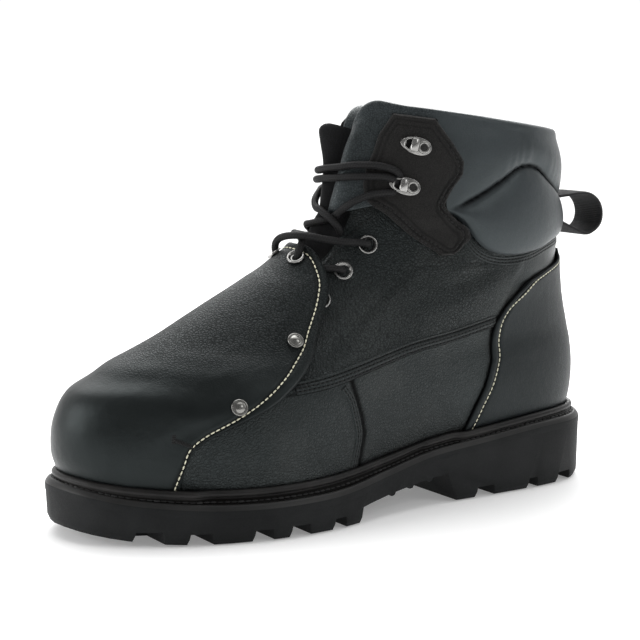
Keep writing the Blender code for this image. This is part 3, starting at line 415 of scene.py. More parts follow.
def on_last(around, level):
    """Point of the last; around is 0 at the back, 1 at the front, - inside."""
    around = np.asarray(around, dtype=float)
    around = (around + 1.0) % 2.0 - 1.0
    x = (around + 1.0) * AROUND_STEPS
    y = np.clip(np.asarray(level, dtype=float), 0.0, TOP) * LEVEL_STEPS
    x, y = np.broadcast_arrays(x, y)
    i = np.clip(x.astype(int), 0, 2 * AROUND_STEPS - 1)
    j = np.clip(y.astype(int), 0, TOP * LEVEL_STEPS - 1)
    u = (x - i)[..., None]
    v = (y - j)[..., None]
    low = LAST[j, i] * (1 - u) + LAST[j, i + 1] * u
    high = LAST[j + 1, i] * (1 - u) + LAST[j + 1, i + 1] * u
    return low * (1 - v) + high * v


def outward(around, level):
    """Outward direction of the last."""
    level = np.clip(np.asarray(level, dtype=float), 0.08, TOP - 0.08)
    along = on_last(np.asarray(around) + 0.012, level) - on_last(np.asarray(around) - 0.012, level)
    up = on_last(around, level + 0.08) - on_last(around, level - 0.08)
    return unit(np.cross(up, along))


def skin(around, level, offset=0.0):
    """Point at a distance outside the last."""
    around, level, offset = np.broadcast_arrays(around, level, offset)
    return on_last(around, level) + outward(around, level) * offset[..., None]


def world(points):
    """From s, t, z in millimetres to X, Y, Z in metres."""
    points = np.asarray(points, dtype=float)
    s, t, z = points[..., 0], points[..., 1], points[..., 2]
    return np.stack([t, ORIGIN_S - s, z], axis=-1) * 0.001


print("form of the last:", LAST.shape[0], "levels of", LAST.shape[1], "points")

# %% [markdown]
# Every finish is made of nodes that read the mesh's own coordinates in metres, so
# a grain of 1.5 mm stays 1.5 mm. Leather is a near black colour with a clear
# dressing over it: the pebbles are a bump of cells, and two painted attributes say
# where the grain is strong and where an edge is rubbed. A third one, deep, is painted
# shade in grooves and seams, and the creases between the pebbles are painted darker
# as shade too.

# %% A small kit for finishes
def new_finish(name):
    made = bpy.data.materials.new(name)
    made.use_nodes = True
    return made, made.node_tree, made.node_tree.nodes["Principled BSDF"]


def fill(tree, node, **sockets):
    """Sets or links sockets by name, with _ for each space."""
    for key, value in sockets.items():
        name = key.replace("_", " ")
        if isinstance(value, bpy.types.NodeSocket):
            tree.links.new(value, node.inputs[name])
        else:
            node.inputs[name].default_value = value
    return node


def add_node(tree, kind, settings=(), **sockets):
    made = tree.nodes.new(kind)
    for key, value in settings:
        setattr(made, key, value)
    return fill(tree, made, **sockets)


def where(tree):
    return tree.nodes.new("ShaderNodeTexCoord").outputs["Object"]


def noise(tree, scale, detail=3.0, roughness=0.5):
    return add_node(tree, "ShaderNodeTexNoise", Vector=where(tree), Scale=scale,
                    Detail=detail, Roughness=roughness).outputs["Fac"]


def cells(tree, scale):
    warp = add_node(tree, "ShaderNodeTexNoise", Vector=where(tree), Scale=scale * 0.6, Detail=1.0)
    shift = add_node(tree, "ShaderNodeVectorMath", (("operation", "MULTIPLY_ADD"),))
    tree.links.new(warp.outputs["Color"], shift.inputs[0])
    shift.inputs[1].default_value = (0.0012, 0.0012, 0.0012)
    tree.links.new(where(tree), shift.inputs[2])
    return add_node(tree, "ShaderNodeTexVoronoi", (("feature", "DISTANCE_TO_EDGE"),),
                    Vector=shift.outputs[0], Scale=scale).outputs["Distance"]


def maths(tree, operation, a, b=None, clamp=False):
    made = tree.nodes.new("ShaderNodeMath")
    made.operation = operation
    made.use_clamp = clamp
    for socket, value in zip(made.inputs, (a, b)):
        if value is None:
            continue
        if isinstance(value, bpy.types.NodeSocket):
            tree.links.new(value, socket)
        else:
            socket.default_value = value
    return made.outputs[0]


def span(tree, value, low, high, out_low=0.0, out_high=1.0):
    return add_node(tree, "ShaderNodeMapRange", (("interpolation_type", "SMOOTHSTEP"),),
                    Value=value, From_Min=low, From_Max=high, To_Min=out_low,
                    To_Max=out_high).outputs["Result"]


def blend(tree, factor, dark, light):
    made = add_node(tree, "ShaderNodeMix", (("data_type", "RGBA"),))
    tree.links.new(factor, made.inputs["Factor"])
    for index, colour in ((6, dark), (7, light)):
        if isinstance(colour, bpy.types.NodeSocket):
            tree.links.new(colour, made.inputs[index])
        else:
            made.inputs[index].default_value = (*colour, 1.0)
    return made.outputs[2]


def painted(tree, name):
    return add_node(tree, "ShaderNodeAttribute", (("attribute_name", name),)).outputs["Fac"]


def bumped(tree, shader, height, distance, under=None):
    made = add_node(tree, "ShaderNodeBump", Strength=1.0, Distance=distance, Height=height)
    if under is not None:
        fill(tree, made, Normal=under)
    fill(tree, shader, Normal=made.outputs["Normal"])
    return made.outputs["Normal"]


def leather(name, dark, light, gloss, pebble, coat, shine, pebble_size=1.45):
    """Dressed leather: pebble is how far its grain stands up, in millimetres."""
    made, tree, shader = new_finish(name)
    patches = noise(tree, 26.0, 3.0)
    rubbed = painted(tree, "rubbed")
    grain = painted(tree, "grain")
    tone = maths(tree, "ADD", span(tree, patches, 0.38, 0.66, 0.0, 0.75), rubbed, clamp=True)
    colour = blend(tree, tone, dark, light)
    pits = cells(tree, 1000.0 / pebble_size)
    crease = span(tree, pits, 0.0, 0.26)
    coarse = maths(tree, "MULTIPLY", crease, grain)
    # Painted shade: the creases between the pebbles are darkened where the grain is strong.
    between = maths(tree, "MULTIPLY", maths(tree, "SUBTRACT", 1.0, crease),
                    maths(tree, "MULTIPLY", grain, 0.50))
    # Both painted shades, the deep attribute in grooves and seams and the pebble creases, darken the colour
    # and dim the reflection.
    deep = maths(tree, "MAXIMUM", painted(tree, "deep"), between)
    fill(tree, shader, Base_Color=blend(tree, deep, colour, (0.0012, 0.0012, 0.0013)))
    fine = noise(tree, 2300.0, 2.0)
    soft = noise(tree, 210.0, 2.0)
    normal = bumped(tree, shader, coarse, pebble * 0.001)
    normal = bumped(tree, shader, fine, 0.00006, normal)
    bumped(tree, shader, soft, 0.00018, normal)
    spread = maths(tree, "ADD", span(tree, fine, 0.2, 0.8, gloss - 0.04, gloss + 0.07),
                   maths(tree, "MULTIPLY", grain, 0.06))
    spread = maths(tree, "ADD", spread, maths(tree, "MULTIPLY", deep, 0.30))
    fill(tree, shader, Roughness=spread)
    fill(tree, shader, Specular_IOR_Level=span(tree, deep, 0.0, 1.0, shine, 0.03))
    fill(tree, shader, Specular_Tint=(0.82, 0.97, 0.98, 1.0), Coat_Weight=coat, Coat_Roughness=0.32)
    return made


LEATHER = leather("pebbled_leather", (0.0040, 0.0040, 0.0039), (0.0176, 0.0174, 0.0165),
                  0.32, 0.34, 0.04, 0.40)
GUARD_LEATHER = leather("guard_leather", (0.0026, 0.0032, 0.0033), (0.0078, 0.0090, 0.0091),
                        0.38, 0.19, 0.05, 0.23)
COUNTER_LEATHER = leather("counter_leather", (0.0035, 0.0042, 0.0048), (0.008, 0.009, 0.010),
                          0.42, 0.10, 0.04, 0.26)
PAD_LEATHER = leather("collar_leather", (0.0085, 0.0098, 0.0105), (0.0245, 0.0280, 0.0310),
                      0.36, 0.10, 0.06, 0.42, 1.2)
print("leathers made")


# %% [markdown]
# Matte goods get their look from fibres: fine noise that tints and lifts the surface.

# %% Nubuck, cloth, webbing, cord and thread
def napped(name, dark, light, scale, nap, sheen):
    """Matte surface with a nap: fibres catch a little light at its edges."""
    made, tree, shader = new_finish(name)
    fibres = noise(tree, scale, 4.0, 0.65)
    tint = blend(tree, span(tree, fibres, 0.35, 0.7), dark, light)
    # Painted shade: the deep attribute darkens the grooves.
    tint = blend(tree, painted(tree, "deep"), tint, (0.0015, 0.0015, 0.0015))
    fill(tree, shader, Base_Color=tint)
    normal = bumped(tree, shader, fibres, nap)
    bumped(tree, shader, noise(tree, scale * 0.12, 3.0), nap * 2.2, normal)
    fill(tree, shader, Roughness=0.85, Specular_IOR_Level=0.22, Sheen_Weight=sheen,
         Sheen_Roughness=0.45)
    return made


NUBUCK = napped("stay_nubuck", (0.0040, 0.0039, 0.0038), (0.021, 0.020, 0.019), 2200.0, 0.00024, 0.10)
TONGUE_CLOTH = napped("tongue_cloth", (0.0040, 0.0040, 0.0045), (0.011, 0.011, 0.012),
                      1800.0, 0.00016, 0.06)
LINING = napped("lining_mesh", (0.006, 0.006, 0.0065), (0.018, 0.018, 0.019), 1500.0, 0.00018, 0.08)
WEBBING = napped("loop_webbing", (0.010, 0.010, 0.0105), (0.030, 0.030, 0.031), 2600.0, 0.00012, 0.08)
FOAM = napped("insole_foam", (0.020, 0.020, 0.021), (0.050, 0.050, 0.052), 900.0, 0.00015, 0.05)


def along_thread(name, dark, light, depth, gloss, shine):
    """Spun thread or braid: the furrows between its strands get painted shade."""
    made, tree, shader = new_finish(name)
    fibres = noise(tree, 3000.0, 2.0)
    # Painted shade from the deep attribute, plus a darker tone from the fibres.
    furrow = maths(tree, "ADD", painted(tree, "deep"), maths(tree, "MULTIPLY", fibres, 0.3), clamp=True)
    fill(tree, shader, Base_Color=blend(tree, furrow, light, dark))
    bumped(tree, shader, fibres, depth)
    fill(tree, shader, Roughness=gloss, Specular_IOR_Level=shine)
    return made


CORD = along_thread("lace_cord", (0.0020, 0.0020, 0.0022), (0.013, 0.013, 0.0135), 0.00010, 0.62, 0.22)
CREAM = along_thread("cream_thread", (0.30, 0.28, 0.18), (0.80, 0.78, 0.60), 0.00006, 0.6, 0.3)
BLACK_THREAD = along_thread("black_thread", (0.0015, 0.0015, 0.0016), (0.0055, 0.0055, 0.0055),
                            0.00006, 0.5, 0.3)
print("cloths and threads made")


# %% [markdown]
# Rubber is dull with smudges and grit. Plated metal is bright, with faint wipe marks.

# %% Rubber and metal
def rubber(name, dark, light, gloss, rough_bump):
    made, tree, shader = new_finish(name)
    smudge = noise(tree, 42.0, 4.0)
    grit = noise(tree, 1500.0, 3.0)
    deep = painted(tree, "deep")
    tint = blend(tree, span(tree, smudge, 0.35, 0.72), dark, light)
    tint = blend(tree, deep, tint, (0.0022, 0.0018, 0.0015))
    fill(tree, shader, Base_Color=tint)
    fill(tree, shader, Specular_IOR_Level=span(tree, deep, 0.0, 1.0, 0.22, 0.05))
    fill(tree, shader, Roughness=span(tree, grit, 0.25, 0.75, gloss - 0.05, gloss + 0.08))
    normal = bumped(tree, shader, grit, rough_bump)
    bumped(tree, shader, noise(tree, 320.0, 2.0), rough_bump * 1.6, normal)
    return made


SOLE_RUBBER = rubber("sole_rubber", (0.0040, 0.0048, 0.0052), (0.0085, 0.0095, 0.0100), 0.62, 0.00004)
BAND_RUBBER = rubber("midsole_rubber", (0.0150, 0.0150, 0.0148), (0.025, 0.025, 0.0245), 0.42, 0.00003)
WELT_EDGE = rubber("welt_leather", (0.0065, 0.0062, 0.0060), (0.018, 0.017, 0.0165), 0.42, 0.00008)


def plated(name, colour, gloss):
    made, tree, shader = new_finish(name)
    wipe = noise(tree, 700.0, 3.0)
    fill(tree, shader, Roughness=span(tree, wipe, 0.3, 0.7, gloss, gloss + 0.10))
    stains = span(tree, noise(tree, 260.0), 0.35, 0.7)
    tint = blend(tree, stains, tuple(c * 0.72 for c in colour), colour)
    fill(tree, shader, Base_Color=tint)
    fill(tree, shader, Metallic=1.0)
    bumped(tree, shader, noise(tree, 380.0, 2.0), 0.00002)
    return made


NICKEL = plated("nickel", (0.37, 0.366, 0.355), 0.20)
# Painted shadow: a near black finish and a dark copy of the nickel stand in for the shade inside the hooks'
# hollows.
PAINTED_HOLE_SHADOW = rubber("hole_shadow", (0.003, 0.003, 0.003), (0.005, 0.005, 0.005), 0.8, 0.00001)
RIVET_METAL = plated("rivet_metal", (0.25, 0.248, 0.235), 0.20)
SHADED_HOLLOW_METAL = plated("painted_shade_metal", (0.085, 0.084, 0.082), 0.22)
print("rubber and metal made")

# %% [markdown]
# Panels of leather are thin closed walls: an outer grid and an inner grid of
# points on the last, joined all round. Grids hold the seams exactly where the
# pattern cutter drew them. Each panel's outer grid drops at its edge in a quarter
# circle, as a cut and rubbed edge does.

# %% Tools for panels
INNER_END = COLLAR_END_INNER - 0.022     # the folded leather stops short of its foam


def select_only(*pieces):
    """Selects pieces and nothing else; the first one is active."""
    bpy.ops.object.select_all(action="DESELECT")
    for piece in pieces:
        piece.select_set(True)
    bpy.context.view_layer.objects.active = pieces[0]


def face_outwards():
    """Turns the normals of the active piece out of it."""
    bpy.ops.object.mode_set(mode="EDIT")
    bpy.ops.mesh.select_all(action="SELECT")
    bpy.ops.mesh.normals_make_consistent(inside=False)
    bpy.ops.object.mode_set(mode="OBJECT")


def tube_faces(count, size, closed=False, base=0):
    """Faces of a tube of rings, with caps at its ends unless it is closed."""
    rings = count if closed else count - 1
    near = [base + k * size for k in range(count)]
    faces = [(near[k] + i, near[k] + (i + 1) % size, near[(k + 1) % count] + (i + 1) % size,
              near[(k + 1) % count] + i) for k in range(rings) for i in range(size)]
    if not closed:
        faces.append(tuple(range(base, base + size)))
        faces.append(tuple(reversed(range(near[-1], near[-1] + size))))
    return faces


def rounded(gap, radius):
    """Quarter circle over a gap from an edge: 0 at the edge, 1 from the radius on."""
    return np.sqrt(np.clip(1.0 - (1.0 - np.clip(gap / radius, 0.0, 1.0)) ** 2, 0.0, 1.0))


def finished(name, points, faces, finish, angle=40.0, paint=None, extra=(), marks=None):
    """Mesh piece from points in metres; paint holds a value per point."""
    mesh = bpy.data.meshes.new(name)
    mesh.from_pydata([tuple(p) for p in points], [], faces)
    for material in (finish, *extra):
        mesh.materials.append(material)
    if marks is not None:
        mesh.polygons.foreach_set("material_index", marks)
    for key in ("grain", "rubbed", "deep"):
        layer = mesh.attributes.new(key, "FLOAT", "POINT")
        values = np.zeros(len(points)) if paint is None or key not in paint else paint[key]
        layer.data.foreach_set("value", np.asarray(values, dtype=np.float32))
    made = bpy.data.objects.new(name, mesh)
    bpy.context.collection.objects.link(made)
    select_only(made)
    face_outwards()
    bpy.ops.object.shade_smooth_by_angle(angle=math.radians(angle))
    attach(made, "root")
    return made


def wall(name, outside, inside, finish, keep=None, wrap=False, paint=None, lining=None):
    """Closed wall between two grids of points in s, t, z."""
    rows, cols = outside.shape[:2]
    cells_across = cols if wrap else cols - 1
    if keep is None:
        keep = np.ones((rows - 1, cells_across), dtype=bool)
    half = rows * cols
    points = world(np.concatenate([outside.reshape(-1, 3), inside.reshape(-1, 3)]))

    def at(j, i, layer):
        return layer * half + j * cols + i % cols

    def there(j, i):
        i = i % cells_across if wrap else i
        return 0 <= j < rows - 1 and 0 <= i < cells_across and keep[j, i]

    faces = []
    marks = []
    for j in range(rows - 1):
        for i in range(cells_across):
            if not keep[j, i]:
                continue
            faces.append((at(j, i, 0), at(j, i + 1, 0), at(j + 1, i + 1, 0), at(j + 1, i, 0)))
            faces.append((at(j, i, 1), at(j + 1, i, 1), at(j + 1, i + 1, 1), at(j, i + 1, 1)))
            marks += [0, 1 if lining else 0]
            for near, p, q in (((j - 1, i), (j, i), (j, i + 1)),
                               ((j + 1, i), (j + 1, i + 1), (j + 1, i)),
                               ((j, i - 1), (j + 1, i), (j, i)),
                               ((j, i + 1), (j, i + 1), (j + 1, i + 1))):
                if not there(*near):
                    faces.append((at(*p, 1), at(*q, 1), at(*q, 0), at(*p, 0)))
                    marks.append(0)
    used = np.unique(np.array([index for face in faces for index in face]))
    number = np.full(2 * half, -1)
    number[used] = np.arange(len(used))
    faces = [tuple(int(number[index]) for index in face) for face in faces]
    both = {}
    for key, value in (paint or {}).items():
        value = np.broadcast_to(value, outside.shape[:2]).reshape(-1)
        both[key] = np.concatenate([value, value])[used]
    return finished(name, points[used], faces, finish, 40.0, both, (lining,) if lining else (), marks)


def corner(around, level):
    """Level lowered towards the two front ends of the collar, whose corners are round."""
    turned_in = (np.asarray(around, dtype=float) + 1) % 2 - 1
    for end, reach, depth in ((COLLAR_END_OUTER, .085, .85), (-INNER_END, .110, 1.05)):
        inwards = np.where(turned_in * end > 0, (np.abs(turned_in) - (abs(end) - reach)) / reach, 0.0)
        inwards = np.clip(inwards, 0.0, 1.0)
        level = level - depth * (1.0 - np.sqrt(1.0 - inwards ** 2)) * ramp(level, 11.2, 12.9)
    return level


def close_to(x, middle, width):
    """1 at the middle, 0 beyond the width, smooth between."""
    return 1.0 - ramp(np.abs(np.asarray(x, dtype=float) - middle), 0.0, width)


def waves(around, level, seed, size=1.0):
    """Slow unevenness of real leather, from a few crossing waves."""
    draw = np.random.default_rng(seed)
    total = 0.0
    for _ in range(6):
        a, b = draw.uniform(4.0, 15.0) * size, draw.uniform(0.5, 1.7) * size
        total = total + np.sin(a * around * 2.0 + b * level + draw.uniform(0.0, 6.28)) / 6.0
    return total


def line_gap(around, level, line_level, line_around, per_around=AROUND_MM, per_level=LEVEL_MM):
    """Rough distance in millimetres to a line that runs over the last."""
    best = np.full(np.broadcast(around, level).shape, 1e9)
    for k in range(len(line_level) - 1):
        a = np.array([line_around[k] * per_around, line_level[k] * per_level])
        b = np.array([line_around[k + 1] * per_around, line_level[k + 1] * per_level])
        run = b - a
        px, py = around * per_around - a[0], level * per_level - a[1]
        u = np.clip((px * run[0] + py * run[1]) / (run @ run), 0.0, 1.0)
        best = np.minimum(best, np.hypot(px - u * run[0], py - u * run[1]))
    return best


print("panel tools ready")

# %% [markdown]
# The upper is the vamp, the quarters and the facings in one wall. The quarter laps
# over the vamp, so its rows above the seam stand a millimetre proud. Creases from
# walking are soft troughs, listed one by one: across the flex beside the ball, and in
# the ankle below the pad.

# %% Upper
BACK_COLUMNS = 300
FRONT_COLUMNS = 24
LOW_ROWS = np.linspace(0.0, 0.992, 46)
HIGH_ROWS = np.linspace(0.004, 0.985, 58)
TOP_ROWS = np.linspace(THROAT_BASE, 12.7, 46)
CREASES = (
    # level, around at one end, level, around at the other, depth, half width in mm
    (2.9, .690, 0.9, .640, 0.45, 7.0),
    (3.0, .630, 1.6, .600, 0.30, 6.0),
    (2.6, .745, 0.7, .715, 0.40, 6.0),
    (7.9, .430, 6.2, .560, 0.60, 11.0),
    (8.3, .330, 7.4, .450, 0.55, 9.0),
    (8.6, .240, 8.0, .090, 0.55, 8.0),
    (5.6, .480, 5.0, .600, 0.35, 10.0),
    (7.2, .640, 5.2, .640, 0.40, 9.0),
)


def throat_edge(level, side):
    """Way around of the throat's edge on one side."""
    low = 0.912 - 0.004 * (level - THROAT_BASE)
    high = 0.950 if side > 0 else 0.900
    mix = ramp(level, 10.2, 10.6)
    return low * (1 - mix) + high * mix


rows_around, rows_level = [], []
for part, group in enumerate((LOW_ROWS, HIGH_ROWS, TOP_ROWS)):
    for value in group:
        high = value if part == 2 else THROAT_BASE
        outer, inner = (float(throat_edge(max(high, THROAT_BASE), side)) for side in (1, -1))
        back = np.linspace(-inner, outer, BACK_COLUMNS + 1)
        front = np.linspace(outer, 2.0 - inner, FRONT_COLUMNS + 1)[1:-1]
        line = np.concatenate([back, front])
        seam = read(SEAM, SEAM_COLUMNS, "level", fold(line))
        if part == 0:
            rows_level.append(0.03 + (seam - 0.03) * value)
        elif part == 1:
            rows_level.append(seam + (THROAT_BASE - seam) * value)
        else:
            rows_level.append(corner(line, np.full_like(line, value)))
        rows_around.append(line)
around, level = np.array(rows_around), np.array(rows_level)
seam_row, throat_row = len(LOW_ROWS), len(LOW_ROWS) + len(HIGH_ROWS)
folded = fold(around)
step = 1.0 * ramp(folded, 0.28, 0.31) * (1.0 - ramp(folded, 0.62, 0.66))
above = np.zeros_like(around)
above[seam_row:] = 1.0
height = step * above * (1.0 - ramp(level, 8.0, 8.4))
seam_level = read(SEAM, SEAM_COLUMNS, "level", folded)
BAND_LEVELS = 0.52          # levels between the lap's edge and its upper line
band_line = seam_level + BAND_LEVELS * (1.0 - 0.25 * ramp(folded, 0.55, 0.68))
shown = ramp(folded, 0.28, 0.31) * (1.0 - ramp(folded, 0.66, 0.70))
height = height - 0.55 * shown * close_to(level, band_line, 0.12)
height = height + 0.35 * shown * above * (1.0 - ramp(level, band_line - 0.1, band_line - 0.02))
low_seam = np.array([3.46, 2.66, 1.96, 1.41, 0.80, 0.0])
low_seam_around = np.array([.572, .546, .528, .519, .522, .526])
below = 1.0 - above
gap = line_gap(folded, level, low_seam, low_seam_around)
behind = folded < np.interp(level, low_seam[::-1], low_seam_around[::-1])
ahead = np.where(behind, 0.0, 0.55) * ramp(folded, 0.4, 0.5) * (1.0 - ramp(folded, 0.72, 0.80))
height = height + below * ahead
height = height - 0.35 * below * close_to(gap, 0.0, 1.3)
for from_level, from_around, to_level, to_around, deep, half in CREASES:
    reach = line_gap(folded, level, (from_level, to_level), (from_around, to_around))
    height = height - deep * close_to(reach, 0.0, half) + 0.3 * deep * close_to(reach, half * 1.3, half)
height = height + 0.35 * waves(around, level, 4) * ramp(level, 0.6, 1.5)
facing = line_gap(folded, level, (8.2, 9.3, 10.1), (.905, .905, .86))
height = height - 0.9 * np.clip(1.0 - facing / 1.2, 0.0, 1.0) ** 2 * ramp(level, 8.0, 8.4)
keep = np.ones((around.shape[0] - 1, around.shape[1]), dtype=bool)
keep[throat_row:, BACK_COLUMNS:] = False
grain = ramp(folded, 0.18, 0.42) * (0.55 + 0.45 * above)
grain = grain * (1.0 - 0.5 * close_to(level, band_line - 0.25, 0.4) * shown)
ankle = ramp(level, 8.2, 9.2) * ramp(folded, 0.1, 0.2) * (1.0 - ramp(folded, 0.45, 0.55))
grain = grain * (1.0 - 0.55 * ankle)
# Painted shade, carried by the deep paint: in the lap's groove, along the lap's edge and in the groove
# beside the rise seam.
deep = np.clip(1.3 * close_to(level, band_line, 0.14) * shown + 1.1 * below * close_to(gap, 0.0, 1.5)
               + close_to(level, seam_level, 0.05) * shown, 0.0, 1.0)
upper = wall("upper_leather", skin(around, level, height), skin(around, level, -WALL), LEATHER,
             keep, True,
             {"grain": grain, "deep": deep, "rubbed": 0.10 * step * above}, LINING)
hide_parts("upper")
print("upper:", len(upper.data.polygons), "faces")

# %% [markdown]
# The guard is the boot's namesake: a plate between two leathers that starts at the
# toe and lies over the instep, free at its rear edge. Its toe is smooth and
# polished, its top is pebbled, and it dents a little where the toe cap ends.

# %% Metatarsal guard
def across_steps(count, crowd):
    """From -1 to 1, crowded at both ends so that the edge can turn round."""
    x = np.linspace(-1.0, 1.0, count)
    return np.sign(x) * (1.0 - (1.0 - np.abs(x)) ** crowd)


GUARD_SEAM = ((.20, .832), (1.00, .813), (1.60, .803), (2.02, .782), (2.44, .748), (2.86, .722),
              (3.38, .704), (4.02, .700), (4.86, .711), (5.68, .741), (6.55, .780), (7.38, .828),
              (8.00, .877), (8.52, .925), (8.72, .958), (8.80, 1.0))
FIRST_LEVEL = 0.12          # where guard and counter start above the welt
GUARD_EDGE = 1.6            # radii of the rolled edges, in millimetres
COUNTER_EDGE = 1.3
STAY_EDGE = 1.2
PAD_EDGE = 5.0
THIN_RIM = 0.04             # share of the guard's thickness left at its very rim
rows = np.concatenate([np.linspace(FIRST_LEVEL, 8.85, 150), np.linspace(8.87, GUARD_TOP, 12)])
edge = read(GUARD, GUARD_COLUMNS, "around", rows)
across = across_steps(171, 1.5)
around = 1.0 + across[None, :] * (1.0 - edge[:, None])
level = np.repeat(rows[:, None], len(across), axis=1)
thick = GUARD_THIN + (GUARD_THICK - GUARD_THIN) * ramp(level, 1.4, 3.8)
far = np.abs(across[None, :])
lift = 1.5 * ramp(far, 0.80, 1.0) * ramp(level, 2.0, 3.0)
seat = CURVE_GAP + GUARD_STAND * ramp(level, 0.3, 0.9)
side_mm = (1.0 - far) * (1.0 - edge[:, None]) * 165.0
top_mm = (GUARD_TOP - level) * 13.0
edge_mm = np.minimum(side_mm, top_mm)
turn = rounded(edge_mm, GUARD_EDGE)
from_seam = line_gap(1.0 - np.abs(around - 1.0), level, *zip(*GUARD_SEAM))
stitch_dip = 0.45 * close_to(from_seam, 0.0, 1.5) * ramp(level, 0.3, 0.6)
plate = 0.35 * ramp(edge_mm, 6.0, 13.0)
rounding = 1.0 - 0.12 * far ** 6 * ramp(level, 1.6, 2.6)
relief = 0.45 * waves(around, level, 11, 0.8) * ramp(level, 0.8, 2.5)
toe_break = line_gap(np.abs(around - 1.0), level, (3.55, 3.75, 3.35), (0.0, 0.10, 0.20))
relief = relief - 0.75 * close_to(toe_break, 0.0, 7.0) + 0.35 * close_to(toe_break, 9.0, 7.0)
for from_level, from_around, to_level, to_around, depth, half in (
        (4.6, .06, 4.2, .17, .35, 5.0), (5.6, .0, 5.2, .12, .25, 6.0), (7.2, .03, 6.4, .15, .30, 7.0),
        (8.0, .0, 7.8, .10, .25, 5.0), (2.2, .19, 1.1, .17, .35, 5.0)):
    reach = line_gap(np.abs(around - 1.0), level, (from_level, to_level), (from_around, to_around))
    relief = relief - depth * close_to(reach, 0.0, half)
stands = thick * rounding + plate - 0.35 + relief - stitch_dip
outer_offset = seat + 0.5 * lift + stands * np.maximum(turn, THIN_RIM)
outer_offset = np.maximum(outer_offset, seat + lift + 0.25)
rubbed = 0.35 * close_to(edge_mm, 0.4, 1.2) + 0.18 * ramp(level, 5.0, 8.0)
# The deep paint is painted shade in the stitch groove along the guard's seam.
guard = wall("guard_leather", skin(around, level, outer_offset), skin(around, level, seat + lift),
             GUARD_LEATHER,
             paint={"grain": ramp(level, 3.0, 5.4), "rubbed": rubbed,
                    "deep": 0.7 * close_to(from_seam, 0.0, 1.3)})
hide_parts("metatarsal_guard")
print("guard:", len(guard.data.polygons), "faces")

# %% [markdown]
# The counter wraps the heel and ends in a narrow strap up the back. It is moulded
# over a stiff shell, so it is smooth, with one row of cream thread near its edge.

# %% Heel counter
rows = np.concatenate([np.linspace(FIRST_LEVEL, 7.6, 100), np.linspace(7.63, COUNTER_TOP, 34)])
edge = read(COUNTER, COUNTER_COLUMNS, "around", rows)
across = across_steps(131, 1.5)
around = across[None, :] * edge[:, None]
level = np.repeat(rows[:, None], len(across), axis=1)
edge_mm = line_gap(np.abs(around), level, *zip(*COUNTER))
edge_mm = np.minimum(edge_mm, (COUNTER_TOP - level) * LEVEL_MM)
turn = rounded(edge_mm, COUNTER_EDGE)
seat = CURVE_GAP + 0.25 * ramp(level, 5.8, 6.8)
dip = 0.40 * close_to(edge_mm, 2.3, 1.0)
relief = 0.30 * waves(around, level, 21) * ramp(edge_mm, 3.0, 9.0)
outer_offset = seat + (COUNTER_THICK + relief - dip) * np.maximum(turn, 0.06)
# The deep paint is painted shade in the stitch groove and along the very edge.
counter = wall("counter_leather", skin(around, level, outer_offset), skin(around, level, seat),
               COUNTER_LEATHER,
               paint={"grain": 0.25, "rubbed": 0.5 * close_to(edge_mm, 1.0, 0.9),
                      "deep": 0.6 * close_to(edge_mm, 2.3, 0.9) + 0.9 * close_to(edge_mm, 0.0, 0.5)})
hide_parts("heel_counter")
print("counter:", len(counter.data.polygons), "faces")

# %% [markdown]
# The collar is soft leather over foam. A sewn groove rises from the stay to the
# back and parts it in two rolls: the cuff above and the ankle pad below. Where the
# thread pulls the leather in, short puckers run away from the groove.

# %% Collar pad
def padding(around, level):
    """Height of the collar pad above the upper: two rolls with a sewn groove."""
    at = fold(around)
    level = np.asarray(level, dtype=float)
    low = read(PAD, PAD_COLUMNS, "level", at)
    puff = read(PUFF, PUFF_COLUMNS, "height", at)
    groove = read(GROOVE, GROOVE_COLUMNS, "level", np.minimum(at, 0.60))
    has_groove = 1.0 - ramp(at, 0.56, 0.62)
    lower = np.clip((level - low) / np.maximum(groove - low, 0.3), 0.0, 1.0)
    upper_part = np.clip((level - groove) / (13.6 - groove), 0.0, 1.0)
    rolls = np.where(level < groove, np.sin(math.pi * lower), np.sin(math.pi * upper_part))
    single = np.sin(math.pi * np.clip((level - low) / (13.9 - low), 0.0, 1.0))
    shape = has_groove * rolls + (1.0 - has_groove) * single
    return 1.0 + puff * np.clip(shape, 0.0, 1.0) ** 0.55


def soft_padding(around, level):
    """The pad with its puckers, kept away from its edges."""
    at = fold(around)
    groove = read(GROOVE, GROOVE_COLUMNS, "level", np.minimum(at, 0.60))
    low = read(PAD, PAD_COLUMNS, "level", at)
    from_groove = np.asarray(level) - groove
    near = close_to(from_groove, 0.25, 0.9) * (1.0 - ramp(at, 0.52, 0.60))
    pucker = 0.13 * near * np.sin(at * 150.0 + 2.5 * np.sin(at * 31.0)) * close_to(at, 0.36, 0.26)
    hollow = 0.55 * close_to(from_groove, 0.0, 0.16) * (1.0 - ramp(at, 0.56, 0.62))
    broad = 0.40 * waves(around, level, 31, 0.7) * ramp(level - low, 0.2, 1.2)
    crease = line_gap(at, level, (12.6, 11.9), (.40, .52))
    return padding(around, level) + pucker + broad - hollow - 0.5 * close_to(crease, 0.0, 9.0)


